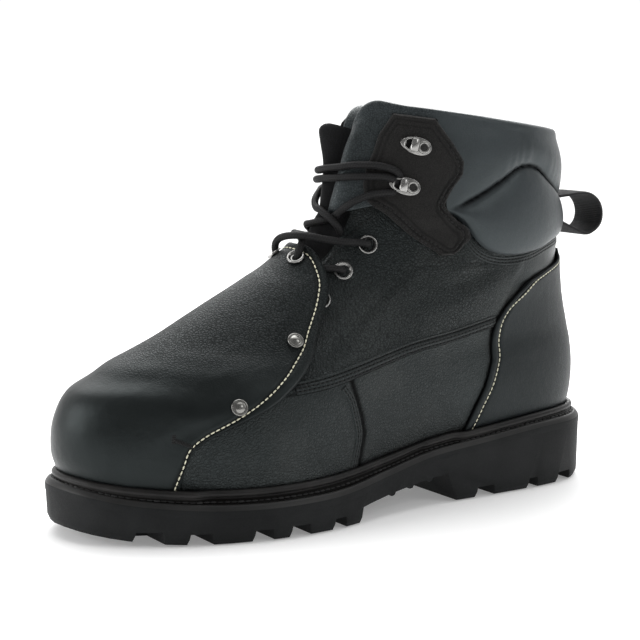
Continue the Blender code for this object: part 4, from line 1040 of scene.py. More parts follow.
PAD_SECTIONS = 341
PAD_STEPS = 64
PAD_TOP = 12.85             # level where the padded wall turns into the rolled top
columns = np.linspace(-INNER_END, COLLAR_END_OUTER, PAD_SECTIONS)
low = read(PAD, PAD_COLUMNS, "level", np.abs(columns))
share = np.linspace(0.0, 1.0, PAD_STEPS)
share = share - 0.10 * np.sin(share * 2.0 * math.pi) / (2.0 * math.pi)
levels = low[:, None] + (PAD_TOP - low)[:, None] * share[None, :]
wide = np.repeat(columns[:, None], PAD_STEPS, axis=1)
end_mm = np.minimum(COLLAR_END_OUTER - columns, columns + INNER_END) * AROUND_MM
end_turn = rounded(end_mm, PAD_EDGE)
round_top = 1.0 - 0.42 * ramp(levels, 11.5, 13.1) ** 2
soft = (soft_padding(wide, levels) * round_top - 0.25) * np.maximum(end_turn, 0.12)[:, None]
outer = skin(wide, corner(wide, levels), CURVE_GAP + 0.25 + soft)
tall = 3.0 + 1.8 * ramp(np.abs(columns), 0.80, 0.96)
tall = tall * np.maximum(end_turn, 0.35)
up = np.array([0.0, 0.0, 1.0])
top_pad = 0.62 * padding(columns, PAD_TOP) * np.maximum(end_turn, 0.12)


def at_level(level, offset, rise=0.0):
    """Points of every section at one level, raised by a share of the roll's height."""
    return skin(columns, corner(columns, level), offset) + up * (tall * rise)[:, None]


knots = np.stack([
    outer[:, -3], outer[:, -1], at_level(13.0, CURVE_GAP + 0.85 * top_pad, 0.45),
    at_level(13.0, 0.35 * top_pad, 1.0), at_level(13.0, -2.6, 0.9), at_level(13.0, -4.9, 0.2),
    at_level(12.5, -5.2), at_level(12.15, -4.4)], axis=1)
at = np.arange(knots.shape[1], dtype=float)
fine = np.linspace(1.0, at[-1], 34)[1:]
crown = np.stack([np.stack([smooth(at, knots[k, :, c], fine) for c in range(3)], axis=-1)
                  for k in range(len(columns))])
inside = np.stack([at_level(12.15, -WALL - CURVE_GAP), at_level(12.82, -WALL - CURVE_GAP),
                   at_level(12.82, CURVE_GAP)], axis=1)
high = corner(columns, 12.3)
backing = np.stack([skin(columns, high + (low + 0.12 - high) * v, CURVE_GAP)
                    for v in np.linspace(0.0, 1.0, 6)], axis=1)
rings = np.concatenate([outer, crown, inside, backing], axis=1)
count, size = rings.shape[:2]
faces = tube_faces(count, size)
groove = read(GROOVE, GROOVE_COLUMNS, "level", np.minimum(np.abs(columns), 0.60))
deep = np.zeros((count, size))
sewn = 1.0 - ramp(np.abs(columns), 0.56, 0.62)
# Painted shade in the sewn groove between the two rolls.
deep[:, :PAD_STEPS] = close_to(levels, groove[:, None], 0.13) * sewn[:, None]
front = ramp(np.abs(columns), 0.66, 0.76)[:, None] * np.ones((count, size))
grain = 0.22 + 0.7 * front
pad = finished("collar_leather", world(rings.reshape(-1, 3)), faces, PAD_LEATHER, 50.0,
               {"deep": deep.ravel(), "grain": grain.ravel(), "rubbed": 0.8 - 0.45 * front.ravel()})
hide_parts("collar_pad")
print("collar pad:", len(pad.data.polygons), "faces")

# %% [markdown]
# A stay of nubuck carries the speed hooks on each side. It lies over the edge of
# the pad, so its seat climbs with the pad; its corners are cut round.

# %% Hook stays
def stay_seat(around, level):
    """Height of the hook stay's underside above the upper."""
    at = fold(around)
    low = read(PAD, PAD_COLUMNS, "level", at)
    over = np.maximum(padding(at, np.maximum(level, low + 0.3)), 2.3)
    return CURVE_GAP + (over + 0.4) * ramp(level - low, -0.70, -0.15)


stay_levels, stay_front, stay_rear = (pick(STAY, STAY_COLUMNS, name) for name in STAY_COLUMNS)
rows = np.linspace(stay_levels[0], stay_levels[-1], 90)
soften = np.hanning(11) / np.hanning(11).sum()      # rounds the corners over five millimetres
rear, ahead = (np.convolve(np.pad(np.interp(rows, stay_levels, edge), 5, "edge"), soften, "valid")
               for edge in (stay_rear, stay_front))
across = (across_steps(61, 1.5) + 1.0) / 2.0
stay_edge_level = np.concatenate([stay_levels, stay_levels[::-1], stay_levels[:1]])
stay_edge_around = np.concatenate([stay_rear, stay_front[::-1], stay_rear[:1]])
for side, word in SIDES:
    around = rear[:, None] + (ahead - rear)[:, None] * across[None, :]
    level = np.repeat(rows[:, None], len(across), axis=1)
    edge_mm = line_gap(around, level, stay_edge_level, stay_edge_around, 140.0, 14.0)
    turn = rounded(edge_mm, STAY_EDGE)
    base = stay_seat(around, level)
    thick = (STAY_THICK + 0.12 * waves(around, level, 41)
             - 0.45 * close_to(edge_mm, 2.0, 0.9) - 0.45 * close_to(edge_mm, 3.9, 0.9))
    placed = corner(side * around, level)
    # The deep paint is painted shade in the two stitch grooves, weaker towards the top.
    stay = wall(f"stay_nubuck_{word}", skin(side * around, placed, base + thick * np.maximum(turn, 0.08)),
                skin(side * around, placed, base), NUBUCK,
                paint={"deep": (close_to(edge_mm, 2.0, 0.7) + close_to(edge_mm, 3.9, 0.7))
                       * (0.75 - 0.35 * ramp(level, 10.6, 11.6))})
    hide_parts(f"hook_stay_{word}")
STAY_REAR = list(zip(stay_levels, stay_rear))[1:-1]
STAY_FRONT = [(v, a) for v, a in list(zip(stay_levels, stay_front))[1:-1] if v < 10.7]
print("hook stays done")

# %% [markdown]
# The tongue is a flap of cloth that swells through the throat. It bunches under
# the lace, so folds run across it, and its top hangs a little to the side.

# %% Tongue
table = {name: pick(TONGUE, TONGUE_COLUMNS, name) for name in TONGUE_COLUMNS}
rows = np.linspace(table["level"][0], table["level"][-1], 120)
half, bulge, middle, base = (smooth(table["level"], table[name], rows)
                             for name in ("half", "bulge", "middle", "base"))
across = np.linspace(-1.0, 1.0, 71)
top_turn = np.clip((rows - rows[-1] + 0.5) / 0.5, 0.0, 1.0)     # the flap's round top
bulge = bulge - 4.5 * (1.0 - np.sqrt(np.clip(1.0 - top_turn ** 2, 0.0, 1.0)))
around = 1.0 + across[None, :] * half[:, None]
level = np.repeat(rows[:, None], len(across), axis=1)
spread = 0.048 + 0.018 * (1.0 - ramp(level, 10.0, 10.9))
near = np.clip(np.abs(around - middle[:, None]) / spread, 0.0, 1.0)
swell = bulge[:, None] * np.cos(near * math.pi / 2) ** 2
folds = 0.55 * np.sin(level * 9.0 + 14.0 * (around - 1.0)) * close_to(level, 10.0, 1.3)
folds = folds + 0.25 * waves(around, level, 51, 2.0)
offset = base[:, None] + swell + folds * ramp(near, 0.0, 0.15) * 0.6
tongue = wall("tongue_cloth", skin(around, level, offset), skin(around, level, offset - 2.6),
              TONGUE_CLOTH)
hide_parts("tongue")
print("tongue:", len(tongue.data.polygons), "faces")

# %% [markdown]
# Sewing is what makes a boot of panels. A stitch is a short fat capsule, modelled
# once and laid along each seam at its own pitch: cream on the guard and counter,
# black elsewhere. Each stitch is dropped onto the leather below it. A seam that
# has several rows gets a narrow ribbon first, moulded with one furrow per row.

# %% One stitch
bpy.ops.object.select_all(action="DESELECT")
bpy.ops.mesh.primitive_uv_sphere_add(segments=8, ring_count=6, radius=1.0)
pattern = bpy.context.object
STITCH_POINTS = np.array([v.co for v in pattern.data.vertices])
STITCH_FACES = [tuple(face.vertices) for face in pattern.data.polygons]
bpy.data.objects.remove(pattern)
print("stitch:", len(STITCH_FACES), "faces")


# %% [markdown]
# A seam is a line over the last. Each point of it is cast onto the real leather, so
# that thread lies on the surface wherever creases and edges have moved it.

# %% Dropping things onto the leather
RIBBON_STEP = 1.1           # millimetres between the rings of a moulded strip


def surface_of(*pieces):
    """Search tree over the outer faces of some pieces, in millimetres of the last."""
    points, faces = [], []
    for piece in pieces:
        base = len(points)
        points += [(ORIGIN_S - v.co.y * 1000, v.co.x * 1000, v.co.z * 1000) for v in piece.data.vertices]
        faces += [tuple(base + i for i in face.vertices) for face in piece.data.polygons]
    return BVHTree.FromPolygons(points, faces)


def drop(surface, points, outs, sink=0.0):
    """Moves points onto a surface along their outward directions."""
    landed = []
    for point, out in zip(points, outs):
        hit, _, _, _ = surface.ray_cast(Vector(point + out * 9.0), Vector(-out), 14.0)
        landed.append(np.array(hit) - out * sink if hit is not None else point)
    return np.array(landed)


def seam_line(seam, step):
    """Even steps along a seam given as rows of way around and level."""
    seam = np.array(seam, dtype=float)
    at = np.arange(len(seam), dtype=float)
    fine = np.linspace(0.0, len(seam) - 1.0, 30 * len(seam))
    around, level = smooth(at, seam[:, 0], fine), smooth(at, seam[:, 1], fine)
    points = skin(around, level, np.ones_like(level))
    run = run_length(points)
    stops = np.linspace(step / 2, run[-1] - step / 2, max(2, int(run[-1] / step)))
    around, level = np.interp(stops, run, around), np.interp(stops, run, level)
    middle = skin(around, level, np.ones_like(level))
    along = unit(np.gradient(middle, axis=0))
    out = outward(around, level)
    return middle, unit(np.cross(out, along)), out


def sew(name, surface, seams, finish, step, length, width, stand=0.36, shifts=(0.0,)):
    """Lays rows of stitches along seams, shifted sideways by millimetres."""
    points, faces = [], []
    for seam in seams:
        middle, side, out = seam_line(seam, step)
        for shift in shifts:
            row = drop(surface, middle + side * shift, out, 0.04)
            along = unit(np.gradient(row, axis=0))
            for k in range(len(row)):
                base = len(points)
                points.extend(row[k] + STITCH_POINTS[:, :1] * along[k] * length / 2
                              + STITCH_POINTS[:, 1:2] * side[k] * width / 2
                              + STITCH_POINTS[:, 2:] * out[k] * stand)
                faces.extend(tuple(base + i for i in face) for face in STITCH_FACES)
    print(name, len(faces) // len(STITCH_FACES), "stitches")
    return finished(name, world(np.array(points)), faces, finish, 80.0)


def ribbon(name, surface, seams, profile, finish, grain):
    """Moulded strips along seams; profile holds across, height and painted shade."""
    profile = np.array(profile)
    points, faces, deep = [], [], []
    across = np.concatenate([profile[:, 0], profile[::-1, 0]])
    heights = np.concatenate([profile[:, 1], np.full(len(profile), -0.9)])
    dark = np.concatenate([profile[:, 2], np.zeros(len(profile))])
    size = len(across)
    for seam in seams:
        middle, side, out = seam_line(seam, RIBBON_STEP)
        rings = []
        for x, z in zip(across, heights):
            rings.append(drop(surface, middle + side * x, out) + out * z)
        rings = np.stack(rings, axis=1)
        base, count = len(points), len(rings)
        points.extend(rings.reshape(-1, 3))
        deep.extend(np.tile(dark, count))
        faces += tube_faces(count, size, base=base)
    paint = {"deep": np.array(deep), "grain": np.full(len(points), grain)}
    return finished(name, world(np.array(points)), faces, finish, 60.0, paint)


def both_sides(*seams):
    return [list(seam) for seam in seams] + [[(-a, v) for a, v in seam] for seam in seams]


# %% [markdown]
# The cream thread is the boot's one bright line: along the guard and the counter.

# %% Cream seams of the guard and the counter
guard_surface = surface_of(guard)
outer_line = [(around, level) for level, around in GUARD_SEAM]
inner_line = [(2.0 - around, level) for level, around in GUARD_SEAM[:-1]]
sew("guard_stitches", guard_surface, [outer_line + inner_line[::-1]], CREAM,
    2.75, 2.45, 0.80, 0.42)
counter_surface = surface_of(counter)
counter_seam = [(around - .015 - .008 * (level > 6), level - 0.10 * (level > 5.5))
                for level, around in COUNTER[:-1]]
sew("counter_stitches", counter_surface, both_sides(counter_seam), CREAM,
    2.6, 2.3, 0.80, 0.42)

# %% [markdown]
# Black seams hold the lap over the vamp (three rows) and the rise below it (two).

# %% Black seams of the quarters
upper_surface = surface_of(upper)
lap = np.linspace(.292, .672, 16)
lap_level = read(SEAM, SEAM_COLUMNS, "level", lap)
lap_seam = [(a, v + 0.30 * (1.0 - 0.25 * float(ramp(a, .55, .68)))) for a, v in zip(lap, lap_level)]
# Each point of a strip's profile: across, height and painted shade, which darkens the furrows that hold the
# stitches and the tucked edges.
THREE_FURROWS = ((-3.9, -0.3, 0.3), (-3.3, 0.55, 0), (-2.6, 0.60, 0), (-2.0, 0.25, 1), (-1.4, 0.60, 0),
                 (-0.9, 0.60, 0), (-0.3, 0.22, 1), (0.3, 0.60, 0), (0.9, 0.60, 0), (1.5, 0.22, 1),
                 (2.1, 0.55, 0), (2.7, 0.50, 0.2), (3.2, 0.05, 1), (3.7, -0.5, 1))
TWO_FURROWS = ((-2.5, -0.4, 0.6), (-1.9, 0.40, 0), (-1.3, 0.40, 0), (-0.8, 0.10, 1), (-0.3, 0.42, 0),
               (0.3, 0.42, 0), (0.8, 0.10, 1), (1.3, 0.40, 0), (1.9, 0.30, 0.3), (2.5, -0.5, 1))


def sewn_strip(word, seam, profile, grain, width, shifts):
    """A moulded strip on both sides of the upper, with stitches in its furrows."""
    seams = both_sides(seam)
    strip = ribbon(f"{word}_seam", upper_surface, seams, profile, LEATHER, grain)
    sew(f"{word}_stitches", surface_of(strip), seams, BLACK_THREAD,
        2.5, 1.9, width, 0.34, shifts)


sewn_strip("lap", lap_seam, THREE_FURROWS, 0.5, 0.75, (-2.0, -0.3, 1.5))
rise_seam = list(zip((.583, .558, .540, .531, .534, .538), (3.20, 2.66, 1.96, 1.41, .80, .30)))
sewn_strip("rise", rise_seam, TWO_FURROWS, 0.4, 0.72, (-0.8, 0.8))

# %% Piping and seams under the pad, along the facing and round the stays
under = np.linspace(.012, .585, 24)
pad_low = read(PAD, PAD_COLUMNS, "level", under)
pad_seam = [(a, v - 0.30) for a, v in zip(under, pad_low)]
sewn_strip("pad_edge", pad_seam, TWO_FURROWS, 0.3, 0.72, (-0.8, 0.8))
facing_seam = ((.893, 8.30), (.890, 8.9), (.882, 9.5), (.862, 9.92), (.838, 10.10))
sew("facing_stitches", upper_surface, both_sides(facing_seam), BLACK_THREAD,
    2.5, 1.9, 0.70)
stay_rows = ([(a + .016, v) for v, a in STAY_REAR], [(a - .020, v) for v, a in STAY_FRONT])
for side, word in SIDES:
    stay_surface = surface_of(bpy.data.objects[f"stay_nubuck_{word}"])
    lines = [[(side * a, v) for a, v in row] for row in stay_rows]
    sew(f"stay_stitches_{word}", stay_surface, lines, BLACK_THREAD, 2.4, 1.9, 0.85, 0.42,
        (-0.95, 0.95))

# %% [markdown]
# A bar tack, a few dense stitches across the seam, locks the guard's edge.

# %% Bar tack on the guard
tack = ((.828, 1.90), (.812, 1.78), (.797, 1.66))
sew("guard_bar_tack", guard_surface, both_sides(tack), BLACK_THREAD, 0.75, 0.8, 2.6, 0.40)
sew("guard_bar_end", guard_surface, both_sides(((.829, 2.04), (.827, 1.78))), BLACK_THREAD,
    0.7, 0.8, 2.4, 0.40)

# %% [markdown]
# Eyelets, rivets and hooks are turned or pressed from sheet and plated. A turned
# piece starts as a circle of vertices that is extruded and resized step by step in
# edit mode, as on a lathe, and is then moved to its seat on the leather.

# %% Turned metal
def place(around, level, offset):
    """Matrix with its Z axis out of the boot and its X axis towards the throat."""
    here = Vector(world(skin(around, level, offset)))
    out = Vector(world(outward(around, level)) - world(np.zeros(3))).normalized()
    move = math.copysign(0.01, around)
    ahead = Vector(world(on_last(around + move, level)) - world(on_last(around - move, level)))
    ahead = (ahead - out * ahead.dot(out)).normalized()
    side = out.cross(ahead)
    made = Matrix((ahead, side, out)).transposed().to_4x4()
    made.translation = here
    return made


def lathe(profile, finish, sides=40):
    """Circle extruded through a profile of radius and height in millimetres."""
    bpy.ops.object.select_all(action="DESELECT")
    radius, height = profile[0]
    bpy.ops.mesh.primitive_circle_add(vertices=sides, radius=radius * 0.001, location=(0, 0, 0))
    made = bpy.context.object
    made.data.materials.append(finish)
    bpy.ops.object.mode_set(mode="EDIT")
    bpy.ops.mesh.select_all(action="SELECT")
    bpy.ops.transform.translate(value=(0, 0, height * 0.001))
    for (old_radius, old_height), (radius, height) in zip(profile, profile[1:]):
        bpy.ops.mesh.extrude_region_move(
            TRANSFORM_OT_translate={"value": (0, 0, (height - old_height) * 0.001)})
        scale = radius / old_radius
        bpy.ops.transform.resize(value=(scale, scale, 1.0), center_override=(0, 0, height * 0.001))
    bpy.ops.mesh.select_all(action="SELECT")
    bpy.ops.mesh.remove_doubles(threshold=0.00001)
    bpy.ops.mesh.select_all(action="SELECT")
    bpy.ops.mesh.normals_make_consistent(inside=False)
    bpy.ops.object.mode_set(mode="OBJECT")
    bpy.ops.object.shade_smooth_by_angle(angle=math.radians(50))
    return made


def turned(name, profile, finish, spot):
    """Lathed piece moved to its seat on the boot."""
    made = lathe(profile, finish)
    made.name = name
    made.data.transform(spot)
    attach(made, "root")
    return made


def arc(middle_radius, middle_height, radius, start, stop, steps):
    """Points of a round bead, angles in degrees."""
    return [(middle_radius + radius * math.cos(a), middle_height + radius * math.sin(a))
            for a in np.radians(np.linspace(start, stop, steps))]


EYELET = ([(4.95, 0.05)] + arc(4.30, 0.30, 0.62, 0, 150, 7)
          + [(3.45, 0.30), (3.0, 0.05), (2.75, -0.5), (2.62, -3.1), (2.2, -3.1), (2.3, -0.4),
             (4.95, 0.02)])
GUARD_RING = ([(4.65, 0.05)] + arc(3.95, 0.30, 0.66, 0, 150, 7)
              + [(3.1, 0.30), (2.75, 0.05), (2.55, -0.5), (2.45, -3.5), (2.05, -3.5), (2.15, -0.4),
                 (4.65, 0.02)])
RIVET = ([(0.02, 0.0), (4.0, 0.0)] + arc(3.55, 0.50, 0.55, -30, 80, 6)
         + [(3.0, 1.0), (2.7, 0.95), (2.3, 1.25), (1.5, 1.65), (0.7, 1.85), (0.02, 1.90)])
for number, (where_around, high) in enumerate(EYELETS, start=1):
    for side, word in SIDES:
        made = turned(f"eyelet_ring_{word}_{number}", EYELET, NICKEL, place(side * where_around, high, GAP))
        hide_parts(f"eyelet_{word}_{number}")
for side, word in SIDES:
    spot = place(side * GUARD_EYELET[0], GUARD_EYELET[1], CURVE_GAP + GUARD_STAND + GUARD_THICK + 0.35)
    made = turned(f"guard_eyelet_ring_{word}", GUARD_RING, NICKEL, spot)
    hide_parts(f"guard_eyelet_{word}")
for number, (where_around, high) in enumerate(RIVETS, start=1):
    for side, word in SIDES:
        tall = GUARD_THIN + (GUARD_THICK - GUARD_THIN) * float(ramp(high, 1.4, 3.8))
        spot = place(side * where_around, high, CURVE_GAP + GUARD_STAND + tall + 0.55)
        made = turned(f"guard_rivet_head_{word}_{number}", RIVET, RIVET_METAL, spot)
        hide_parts(f"guard_rivet_{word}_{number}")
print("eyelets and rivets turned")

# %% [markdown]
# A speed hook is a drop-shaped plate, riveted at its round end. At its narrow end
# the sheet is bent up and over in a square dome that the lace is pulled under.

# %% Speed hooks
HOOK_TILT = -0.16


def hook_plate():
    bpy.ops.object.select_all(action="DESELECT")
    bpy.ops.mesh.primitive_circle_add(vertices=48, radius=1.0, fill_type="NGON")
    made = bpy.context.object
    for vertex in made.data.vertices:
        angle = math.atan2(vertex.co.y, vertex.co.x)
        narrow = 0.5 + 0.5 * math.cos(angle)
        vertex.co.x = (8.2 * math.cos(angle) + 0.1) * 0.001
        vertex.co.y = 5.2 * math.sin(angle) * (1.0 - 0.30 * narrow) * 0.001
    bpy.ops.object.mode_set(mode="EDIT")
    bpy.ops.mesh.select_all(action="SELECT")
    bpy.ops.mesh.extrude_region_move(TRANSFORM_OT_translate={"value": (0, 0, 0.0009)})
    bpy.ops.object.mode_set(mode="OBJECT")
    bevel = made.modifiers.new("edge", "BEVEL")
    bevel.width = 0.00032
    bevel.segments = 3
    bevel.limit_method = "ANGLE"
    bpy.ops.object.modifier_apply(modifier="edge")
    return made


def ring_bead(x, radius_x, radius_y, thick, low, squareness):
    """Raised ring with an open middle: a torus stretched to a rounded square."""
    bpy.ops.object.select_all(action="DESELECT")
    bpy.ops.mesh.primitive_torus_add(major_segments=40, minor_segments=14, major_radius=1.0,
                                     minor_radius=0.25)
    made = bpy.context.object
    for vertex in made.data.vertices:
        angle = math.atan2(vertex.co.y, vertex.co.x)
        out = math.hypot(vertex.co.x, vertex.co.y) - 1.0
        corners = abs(math.cos(angle)) ** squareness + abs(math.sin(angle)) ** squareness
        power = corners ** (-1.0 / squareness)
        vertex.co.x, vertex.co.y, vertex.co.z = (
            (x + (radius_x * power + out * 4.0 * thick) * math.cos(angle)) * 0.001,
            (radius_y * power + out * 4.0 * thick) * math.sin(angle) * 0.001,
            (low + vertex.co.z * 4.0 * thick) * 0.001)
    return made


def mouth(x, radius_x, radius_y, finish):
    """Dark disc inside a ring: painted shadow for the hollow below it."""
    bpy.ops.object.select_all(action="DESELECT")
    bpy.ops.mesh.primitive_circle_add(vertices=24, radius=0.001, fill_type="NGON", location=(0, 0, 0))
    made = bpy.context.object
    stretch = Matrix.Diagonal((radius_x, radius_y, 1, 1))
    made.data.transform(Matrix.Translation((x * 0.001, 0, 0.00098)) @ stretch)
    made.data.materials.append(finish)
    return made


def joined(parts, name):
    select_only(*parts)
    bpy.ops.object.join()
    parts[0].name = name
    parts[0].data.name = name
    return parts[0]


BENT = ((-0.9, 0.6), (-1.0, 2.2), (-0.5, 3.5), (0.7, 4.2), (2.0, 4.2), (3.0, 3.7))
HOOK_RIVET = [(3.3, 0.8)] + arc(2.55, 1.35, 0.68, -20, 150, 8) + [(1.85, 1.20), (1.80, 0.92)]


def bent_strip():
    """Strip bent up and over, wide at its root and rounded at its tip."""
    bpy.ops.object.select_all(action="DESELECT")
    bpy.ops.mesh.primitive_grid_add(x_subdivisions=28, y_subdivisions=10, size=2.0)
    made = bpy.context.object
    at = np.arange(len(BENT), dtype=float)
    path = np.array(BENT)
    for vertex in made.data.vertices:
        u = (vertex.co.x + 1.0) / 2.0 * (len(BENT) - 1)
        x, z = (float(smooth(at, path[:, k], u)) for k in (0, 1))
        tip = math.sqrt(max(0.0, 1.0 - max(0.0, (vertex.co.x - 0.72) / 0.30) ** 2))
        crown = 1.0 - 0.16 * vertex.co.y ** 2
        vertex.co = (x * 0.001, vertex.co.y * 3.3 * max(tip, 0.25) * 0.001, z * crown * 0.001)
    thick = made.modifiers.new("sheet", "SOLIDIFY")
    thick.thickness = 0.0009
    thick.offset = 0.0
    bpy.ops.object.modifier_apply(modifier="sheet")
    soft = made.modifiers.new("soft", "SUBSURF")
    soft.levels = 1
    soft.render_levels = 1
    bpy.ops.object.modifier_apply(modifier="soft")
    return made


for number, (where_around, high) in enumerate(HOOKS, start=1):
    for side, word in SIDES:
        eye = lathe(HOOK_RIVET, NICKEL, 32)
        eye.data.transform(Matrix.Translation((-0.0040, 0, 0)))
        sheet = [hook_plate(), ring_bead(2.7, 3.3, 2.9, 0.60, 1.7, 3.2), bent_strip()]
        for part in sheet:
            part.data.materials.append(NICKEL)
        # Two discs paint the shade in the hook's hollows: a near black one under the ring, and dark nickel
        # in the rivet's eye.
        shadow_discs = [mouth(2.7, 3.1, 2.7, PAINTED_HOLE_SHADOW), mouth(-4.0, 1.95, 1.95, SHADED_HOLLOW_METAL)]
        hook = joined(sheet + [eye] + shadow_discs, f"speed_hook_{word}_{number}")
        seat = float(stay_seat(where_around, high)) + STAY_THICK + 0.5
        spot = place(side * where_around, high, seat) @ Matrix.Rotation(HOOK_TILT * side, 4, "Z")
        hook.data.transform(spot)
        face_outwards()
        bpy.ops.object.shade_smooth_by_angle(angle=math.radians(45))
        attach(hook, "root")
        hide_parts(f"lace_hook_{word}_{number}")
print("speed hooks bent")

# %% [markdown]
# The lace is a round braid of about four millimetres. Its two rows of strands cross
# all along it, and that shows, so the tube is modelled with the braid's relief. It
# runs from hole to hole: through the guard's eyelets, the bar between the top
# eyelets, a crossing, and two strands round the front to the hooks.

# %% Lace
LACE_SIDES = 32
BRAID_PITCH = 7.0           # millimetres for one turn of a strand
BRAID_STRANDS = 5           # in each direction
BRAID_STEP = 0.36           # millimetres between rings


def braid(name, rows, node, radius=LACE_RADIUS):
    """Braided cord along rows of way around, level and height on the last."""
    rows = np.array(rows, dtype=float)
    at = np.arange(len(rows), dtype=float)
    fine = np.linspace(0.0, len(rows) - 1.0, 60 * len(rows))
    line = skin(*(smooth(at, rows[:, k], fine) for k in range(3)))
    length = np.linalg.norm(np.diff(line, axis=0), axis=1).sum()
    line = even_steps(line, int(length / BRAID_STEP))
    along = unit(np.gradient(line, axis=0))
    side = np.cross(along[0], np.array([0.0, 0.0, 1.0]))
    sides = []
    for direction in along:
        side = unit(side - direction * (side @ direction))
        sides.append(side)
    sides = np.array(sides)
    ups = np.cross(sides, along)
    run = np.linspace(0.0, length, len(line))
    angle = np.arange(LACE_SIDES) * 2 * math.pi / LACE_SIDES
    turn = 2 * math.pi * run[:, None] / BRAID_PITCH
    weave = np.maximum(np.sin(BRAID_STRANDS * angle[None, :] + BRAID_STRANDS * turn),
                       np.sin(BRAID_STRANDS * angle[None, :] - BRAID_STRANDS * turn))
    close = np.maximum(rounded(np.minimum(run, length - run), radius), math.sqrt(0.05))
    reach = radius * (0.90 + 0.10 * weave) * close[:, None]
    rings = (line[:, None, :] + reach[..., None] * (np.cos(angle)[None, :, None] * sides[:, None, :]
                                                    + np.sin(angle)[None, :, None] * ups[:, None, :]))
    faces = tube_faces(len(line), LACE_SIDES)
    # Painted shade in the furrows between the strands.
    furrow = np.clip(0.55 - 0.9 * weave, 0.0, 1.0)
    made = finished(name, world(rings.reshape(-1, 3)), faces, CORD, 70.0,
                    {"deep": furrow.ravel()})
    if node:
        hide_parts(node)
    print(name, round(length), "mm")
    return made


braid("lace_upper_strand", (
    (.792, 11.16, 4.4), (.800, 11.28, 6.0), (.820, 11.40, 7.2), (.865, 11.46, 7.6), (.920, 11.40, 8.2),
    (.965, 11.28, 8.2), (1.035, 11.18, 7.6), (1.105, 11.24, 5.8), (1.150, 11.34, 6.4), (1.185, 11.30, 7.2),
    (1.200, 11.24, 6.0), (1.208, 11.16, 4.4)), "lace_strand_upper")
braid("lace_lower_strand", (
    (.794, 11.04, 4.4), (.804, 11.10, 6.0), (.828, 11.17, 7.2), (.865, 11.16, 7.6), (.920, 11.08, 8.0),
    (.965, 11.00, 7.6), (1.035, 10.94, 6.8), (1.105, 10.98, 5.4), (1.150, 11.05, 6.2), (1.178, 11.06, 7.0),
    (1.196, 11.05, 6.0), (1.206, 11.04, 4.4)), "lace_strand_lower")
braid("lace_crossing_outer", (
    (.905, 9.55, -1.0), (.912, 9.68, 0.8), (.922, 9.80, 2.8), (.940, 9.94, 4.2), (.962, 10.08, 4.6),
    (.985, 10.20, 4.4), (1.010, 10.26, 3.4), (1.050, 10.44, 3.6), (1.100, 10.64, 4.2), (1.135, 10.72, 5.8),
    (1.165, 10.74, 7.0), (1.190, 10.78, 6.0), (1.203, 10.82, 4.4)), "lace_crossing")
braid("lace_crossing_inner", (
    (1.095, 9.50, -1.0), (1.088, 9.62, 0.4), (1.050, 9.75, 2.2), (1.010, 9.80, 2.6), (.975, 9.92, 2.2),
    (.945, 10.08, 1.8), (.925, 10.26, 4.0), (.900, 10.46, 6.2), (.865, 10.66, 7.2), (.835, 10.74, 7.4),
    (.810, 10.78, 6.0), (.797, 10.82, 4.4)), "lace_crossing")
braid("lace_top_bar", (
    (.817, 9.24, -2.4), (.818, 9.24, 0.4), (.822, 9.25, 2.8), (.842, 9.26, 3.6), (.880, 9.24, 4.2),
    (.920, 9.20, 6.8), (.950, 9.12, 9.8), (.980, 8.98, 11.4), (1.010, 8.80, 11.2), (1.034, 8.62, 9.0),
    (1.044, 8.50, 6.0), (1.045, 8.45, 1.6)), "lace_bar")
braid("lace_guard_loop", (
    (.955, 8.45, 1.6), (.955, 8.47, 4.2), (.957, 8.60, 6.8), (.962, 8.82, 7.8), (.972, 9.04, 7.4),
    (.995, 9.22, 6.6), (1.040, 9.32, 5.6), (1.090, 9.32, 4.2), (1.130, 9.28, 3.6), (1.160, 9.26, 3.6),
    (1.178, 9.25, 2.8), (1.182, 9.24, 0.4), (1.183, 9.24, -2.4)), "lace_guard_tie")
for side, word in SIDES:
    braid(f"lace_second_row_{word}", (
        (side * .825, 8.20, -2.4), (side * .825, 8.20, -0.4), (side * .830, 8.21, 1.5),
        (side * .850, 8.24, 2.3), (side * .880, 8.26, 1.6), (side * .900, 8.28, -0.4),
        (side * .920, 8.28, -2.6)), None, 1.75)
    at_eyelet, high = EYELETS[2]
    braid(f"lace_third_row_{word}", (
        (side * at_eyelet, high, -2.4), (side * at_eyelet, high, -1.2),
        (side * (at_eyelet + .012), high, -0.4)), None, 1.7)

# %% [markdown]
# The sole is rubber with a sewn welt. The outsole keeps the frame's lugs, and its
# edges are rounded a little, as moulded rubber is. A satin band slopes up to the
# welt, whose rough channel holds the sewing, and a glossy bead lies by the upper.

# %% Outline of the sole
def sole_outline(inset, parts=8):
    """Plan of the sole in s, t, moved inwards by an inset."""
    s = pick(OUTLINE, OUTLINE_COLUMNS, "s")
    loop_s = np.concatenate([s, s[-2:0:-1]])
    outer, inner = (pick(OUTLINE, OUTLINE_COLUMNS, name) for name in ("outer", "inner"))
    loop_t = np.concatenate([outer, -inner[-2:0:-1]])
    n = len(loop_s)
    at = np.arange(0, n * parts) / parts
    i = at.astype(int)
    u = at - i

    def through(values):
        p0, p1, p2, p3 = (values[(i + k) % n] for k in (-1, 0, 1, 2))
        return 0.5 * (2 * p1 + (p2 - p0) * u + (2 * p0 - 5 * p1 + 4 * p2 - p3) * u * u
                      + (3 * p1 - p0 - 3 * p2 + p3) * u**3)

    ring = np.stack([through(loop_s), through(loop_t)], axis=-1)
    along = np.roll(ring, -1, axis=0) - np.roll(ring, 1, axis=0)
    normal = np.stack([-along[:, 1], along[:, 0]], axis=-1)
    return ring - unit(normal) * inset


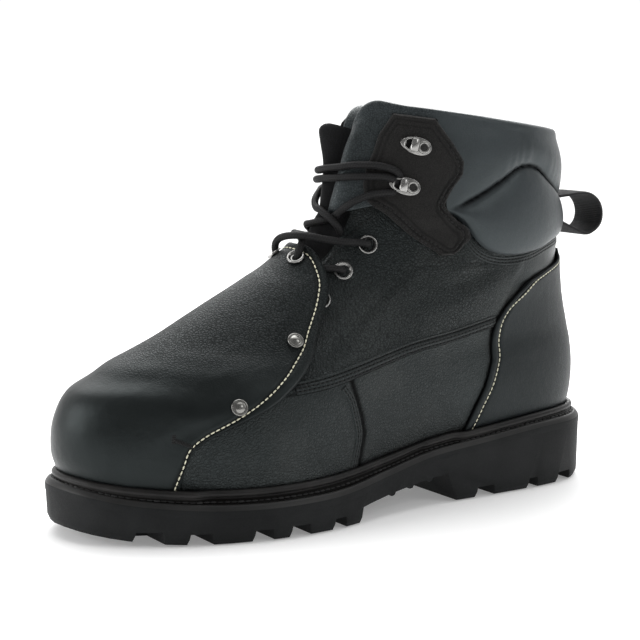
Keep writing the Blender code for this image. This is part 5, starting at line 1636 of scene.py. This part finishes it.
def ring_sweep(name, rings, finish, angle=55.0, paint=None, extra=(), marks=None):
    """Closed tube through rings of profile points: rings, points, s t z."""
    faces = tube_faces(*rings.shape[:2], closed=True)
    return finished(name, world(rings.reshape(-1, 3)), faces, finish, angle, paint, extra, marks)


print("outline of the sole:", len(sole_outline(0.0)), "points")

# %% Outsole with rounded edges
SOLE_EDGE = 0.0007           # radius of the rounded edges, in metres
SHARP = math.radians(32)     # corners above this angle are rounded
outsole_mesh = frame["nodes"]["outsole"].data.copy()
shape = bmesh.new()
shape.from_mesh(outsole_mesh)
bmesh.ops.remove_doubles(shape, verts=shape.verts, dist=0.00001)
bmesh.ops.dissolve_limit(shape, angle_limit=math.radians(2), verts=shape.verts, edges=shape.edges)
shape.to_mesh(outsole_mesh)
shape.free()
outsole = bpy.data.objects.new("outsole_rubber", outsole_mesh)
bpy.context.collection.objects.link(outsole)
outsole.matrix_world = Matrix.Identity(4)
outsole.data.materials.clear()
outsole.data.materials.append(SOLE_RUBBER)
select_only(outsole)
soft_edge = outsole.modifiers.new("soft_edge", "BEVEL")
soft_edge.width = SOLE_EDGE
soft_edge.segments = 2
soft_edge.limit_method = "ANGLE"
soft_edge.angle_limit = SHARP
bpy.ops.object.modifier_apply(modifier="soft_edge")
bpy.ops.object.shade_smooth_by_angle(angle=SHARP)
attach(outsole, "root")
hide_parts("outsole")
print("outsole", len(outsole.data.polygons), "faces")

# %% [markdown]
# The band of the midsole is a profile swept round the outline of the sole.

# %% Band of the midsole
BAND_PROFILE = ((-0.05, -1.10), (-0.05, 2.00), (0.08, 2.40), (0.50, 3.15), (1.10, 4.00), (1.75, 4.70),
                (2.35, 5.02), (2.85, 4.95), (3.10, 4.50), (3.10, 0.60))
BAND_WALL_POINTS = 2
plans = [sole_outline(inset) for inset, _ in BAND_PROFILE]
heights = rim(plans[0][:, 0])
band = np.stack([np.column_stack([plan, heights + rise])
                 for plan, (_, rise) in zip(plans, BAND_PROFILE)], axis=1)
marks = np.tile([1] * BAND_WALL_POINTS + [0] * (len(BAND_PROFILE) - BAND_WALL_POINTS), len(band))
ring_sweep("midsole_band", band, BAND_RUBBER, extra=(SOLE_RUBBER,), marks=marks)
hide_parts("midsole")
print("midsole band:", len(band), "sections")

# %% Welt: bead and sewn channel
WELT_AROUND = 420
WELT_STITCHES = 210
BEAD_RADIUS = 1.90
BEAD_JOINT = 0.392           # where the bead's two ends lap, on the outer side
BEAD_TURNS = np.radians(np.arange(160, -66, -25))
plan = sole_outline(0.0, 4)


def to_outline(start, direction):
    """Distance in plan from a point to the edge of the sole."""
    a, b = plan, np.roll(plan, -1, axis=0)
    edge = b - a
    area = direction[0] * edge[:, 1] - direction[1] * edge[:, 0]
    area = np.where(np.abs(area) < 1e-9, 1e-9, area)
    d = a - start
    far = (d[:, 0] * edge[:, 1] - d[:, 1] * edge[:, 0]) / area
    along = (d[:, 0] * direction[1] - d[:, 1] * direction[0]) / area
    return float(np.min(far[(far > 0) & (along >= -1e-6) & (along <= 1 + 1e-6)]))


def cover(around):
    """Thickness of the piece over the upper beside the welt."""
    around = np.abs(around)
    guard = (GUARD_THIN + CURVE_GAP) * ramp(around, 0.775, 0.805)
    counter = (COUNTER_THICK + CURVE_GAP) * (1.0 - ramp(around, 0.310, 0.335))
    return guard + counter


sections, seats = [], []
for k in range(WELT_AROUND):
    around = -1.0 + 2.0 * k / WELT_AROUND
    near = float(cover(around)) + CURVE_GAP + 0.05
    foot = skin(around, 0.0, near)
    flat = unit(outward(around, 0.0)[:2])
    reach = to_outline(foot[:2], flat)
    base = float(rim(foot[0])) + MIDSOLE_THICK
    lapped = float(ramp(around, BEAD_JOINT - .0012, BEAD_JOINT + .0012)
                   * (1.0 - ramp(around, BEAD_JOINT, .45)))
    radius = BEAD_RADIUS - 0.45 * lapped
    tuck = 0.70 - 0.55 * float(ramp(abs(around), 0.74, 0.86))
    bead_at = skin(around, 0.30, near + radius * tuck)
    profile = [(foot[0], foot[1], base + 0.2), tuple(skin(around, 0.20, near - 0.1))]
    for turn in BEAD_TURNS:
        reach_out = flat * radius * math.cos(turn)
        profile.append((*(bead_at[:2] + reach_out), bead_at[2] + radius * math.sin(turn)))
    lip = np.array(profile[-1])
    outer = np.array([*(foot[:2] + flat * (reach - 2.75)), float(rim(foot[0] + flat[0] * reach)) + 4.85])
    for share, dip in ((0.12, 0.45), (0.5, 0.40), (0.88, 0.25), (1.0, 0.0)):
        spot = lip + (outer - lip) * share
        profile.append((spot[0], spot[1], spot[2] - dip))
    middle = lip + (outer - lip) * 0.52
    seats.append((middle[0], middle[1], middle[2] - 0.30))
    profile.append((outer[0], outer[1], base + 0.2))
    sections.append(profile)
sections = np.array(sections)
# The channel is painted darker and less shiny than the bead.
dull_channel = np.zeros(sections.shape[:2])
dull_channel[:, 2 + len(BEAD_TURNS):] = 1.0
ring_sweep("welt_bead", sections, WELT_EDGE, 60.0, {"deep": dull_channel.ravel()})
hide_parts("welt")
print("welt bead:", len(sections), "sections")

# %% Sewing in the channel
seats = np.array(seats)
run = even_steps(np.vstack([seats, seats[:1]]), WELT_STITCHES)[:-1]
points, faces = [], []
for k, middle in enumerate(run):
    along = unit(run[(k + 1) % len(run)] - run[k - 1])
    side = np.cross((0.0, 0.0, 1.0), along)
    up = np.cross(along, side)
    wobble = 0.12 * math.sin(7.3 * k) + 0.08 * math.sin(3.1 * k)
    base = len(points)
    points.extend(middle + side * wobble + STITCH_POINTS[:, :1] * along * 1.65
                  + STITCH_POINTS[:, 1:2] * side * 0.62 + STITCH_POINTS[:, 2:] * up * (0.50 + wobble))
    faces.extend(tuple(base + i for i in face) for face in STITCH_FACES)
finished("welt_stitches", world(np.array(points)), faces, BLACK_THREAD, 80.0)
print("welt: bead, channel and", len(run), "stitches")

# %% [markdown]
# The pull loop is a ribbon of webbing that starts and ends on the back of the pad.

# %% Pull loop of ribbed webbing
LOOP_ENDS = (10.72, 9.72)    # levels where the webbing goes into the collar seam
LOOP = ((0.0, 155.0), (-7.5, 154.4), (-13.5, 150.6), (-16.4, 144.4), (-15.4, 138.0), (-10.5, 133.8),
        (-3.5, 132.8))
LOOP_WIDE = 23.0
LOOP_THICK = 1.6
RIB = 1.15                   # pitch of the webbing's ribs


def pad_back(level):
    point = skin(0.0, level, CURVE_GAP + float(padding(0.0, level)) - 1.2)
    return float(point[0]), float(point[2])


route = np.array((pad_back(LOOP_ENDS[0]),) + LOOP + (pad_back(LOOP_ENDS[1]),))
at = np.arange(len(route), dtype=float)
fine = np.linspace(0, len(route) - 1.0, 400)
route = np.column_stack([smooth(at, route[:, 0], fine), smooth(at, route[:, 1], fine)])
route = even_steps(np.column_stack([route, np.zeros(len(route))]), 330)[:, :2]
along = np.gradient(route, axis=0)
side_way = unit(np.stack([-along[:, 1], along[:, 0]], axis=-1))
steps = run_length(route)
ribs = 0.13 * np.cos(2 * math.pi * steps / RIB)
across = np.linspace(-1.0, 1.0, 13)
ring = []
for sign, order in ((1, across), (-1, across[::-1])):
    for t in order:
        selvedge = 0.75 if abs(t) > 0.99 else 1.0
        lift = (LOOP_THICK / 2 + ribs) * selvedge * sign
        flare = 1.0 + 0.012 * np.sin(steps / 9.0)
        ring.append(np.column_stack([route[:, 0] + side_way[:, 0] * lift, t * LOOP_WIDE / 2 * flare,
                                     route[:, 1] + side_way[:, 1] * lift]))
ring = np.stack(ring, axis=1)
faces = tube_faces(*ring.shape[:2])
finished("pull_loop_webbing", world(ring.reshape(-1, 3)), faces, WEBBING, 60.0)
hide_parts("pull_loop")
print("webbing loop", round(float(steps[-1])), "mm long")

# %% [markdown]
# Of the frame's own solids only the insole still shows, and it gets a foam finish.
# The other slots here belong to solids that the pieces above replace.

# %% Finishes for the frame's own pieces
FINISH_OF = {
    "sole_rubber": SOLE_RUBBER, "midsole_rubber": BAND_RUBBER, "welt_leather": WELT_EDGE,
    "insole_foam": FOAM, "loop_webbing": NUBUCK, "lace_cord": CORD, "nickel": NICKEL,
}
slot_of = {row["node"]: row["material_slot"] for row in frame["record"]["subparts"]}
for node, thing in frame["nodes"].items():
    if slot_of[node] in FINISH_OF:
        thing.data.materials.clear()
        thing.data.materials.append(FINISH_OF[slot_of[node]])
print("frame pieces finished")

# %% [markdown]
# The last cell measures the dressed boot's box.

# %% Size and finish
low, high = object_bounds()
print("visual box", [round(v * 1000, 1) for v in high - low], "mm")
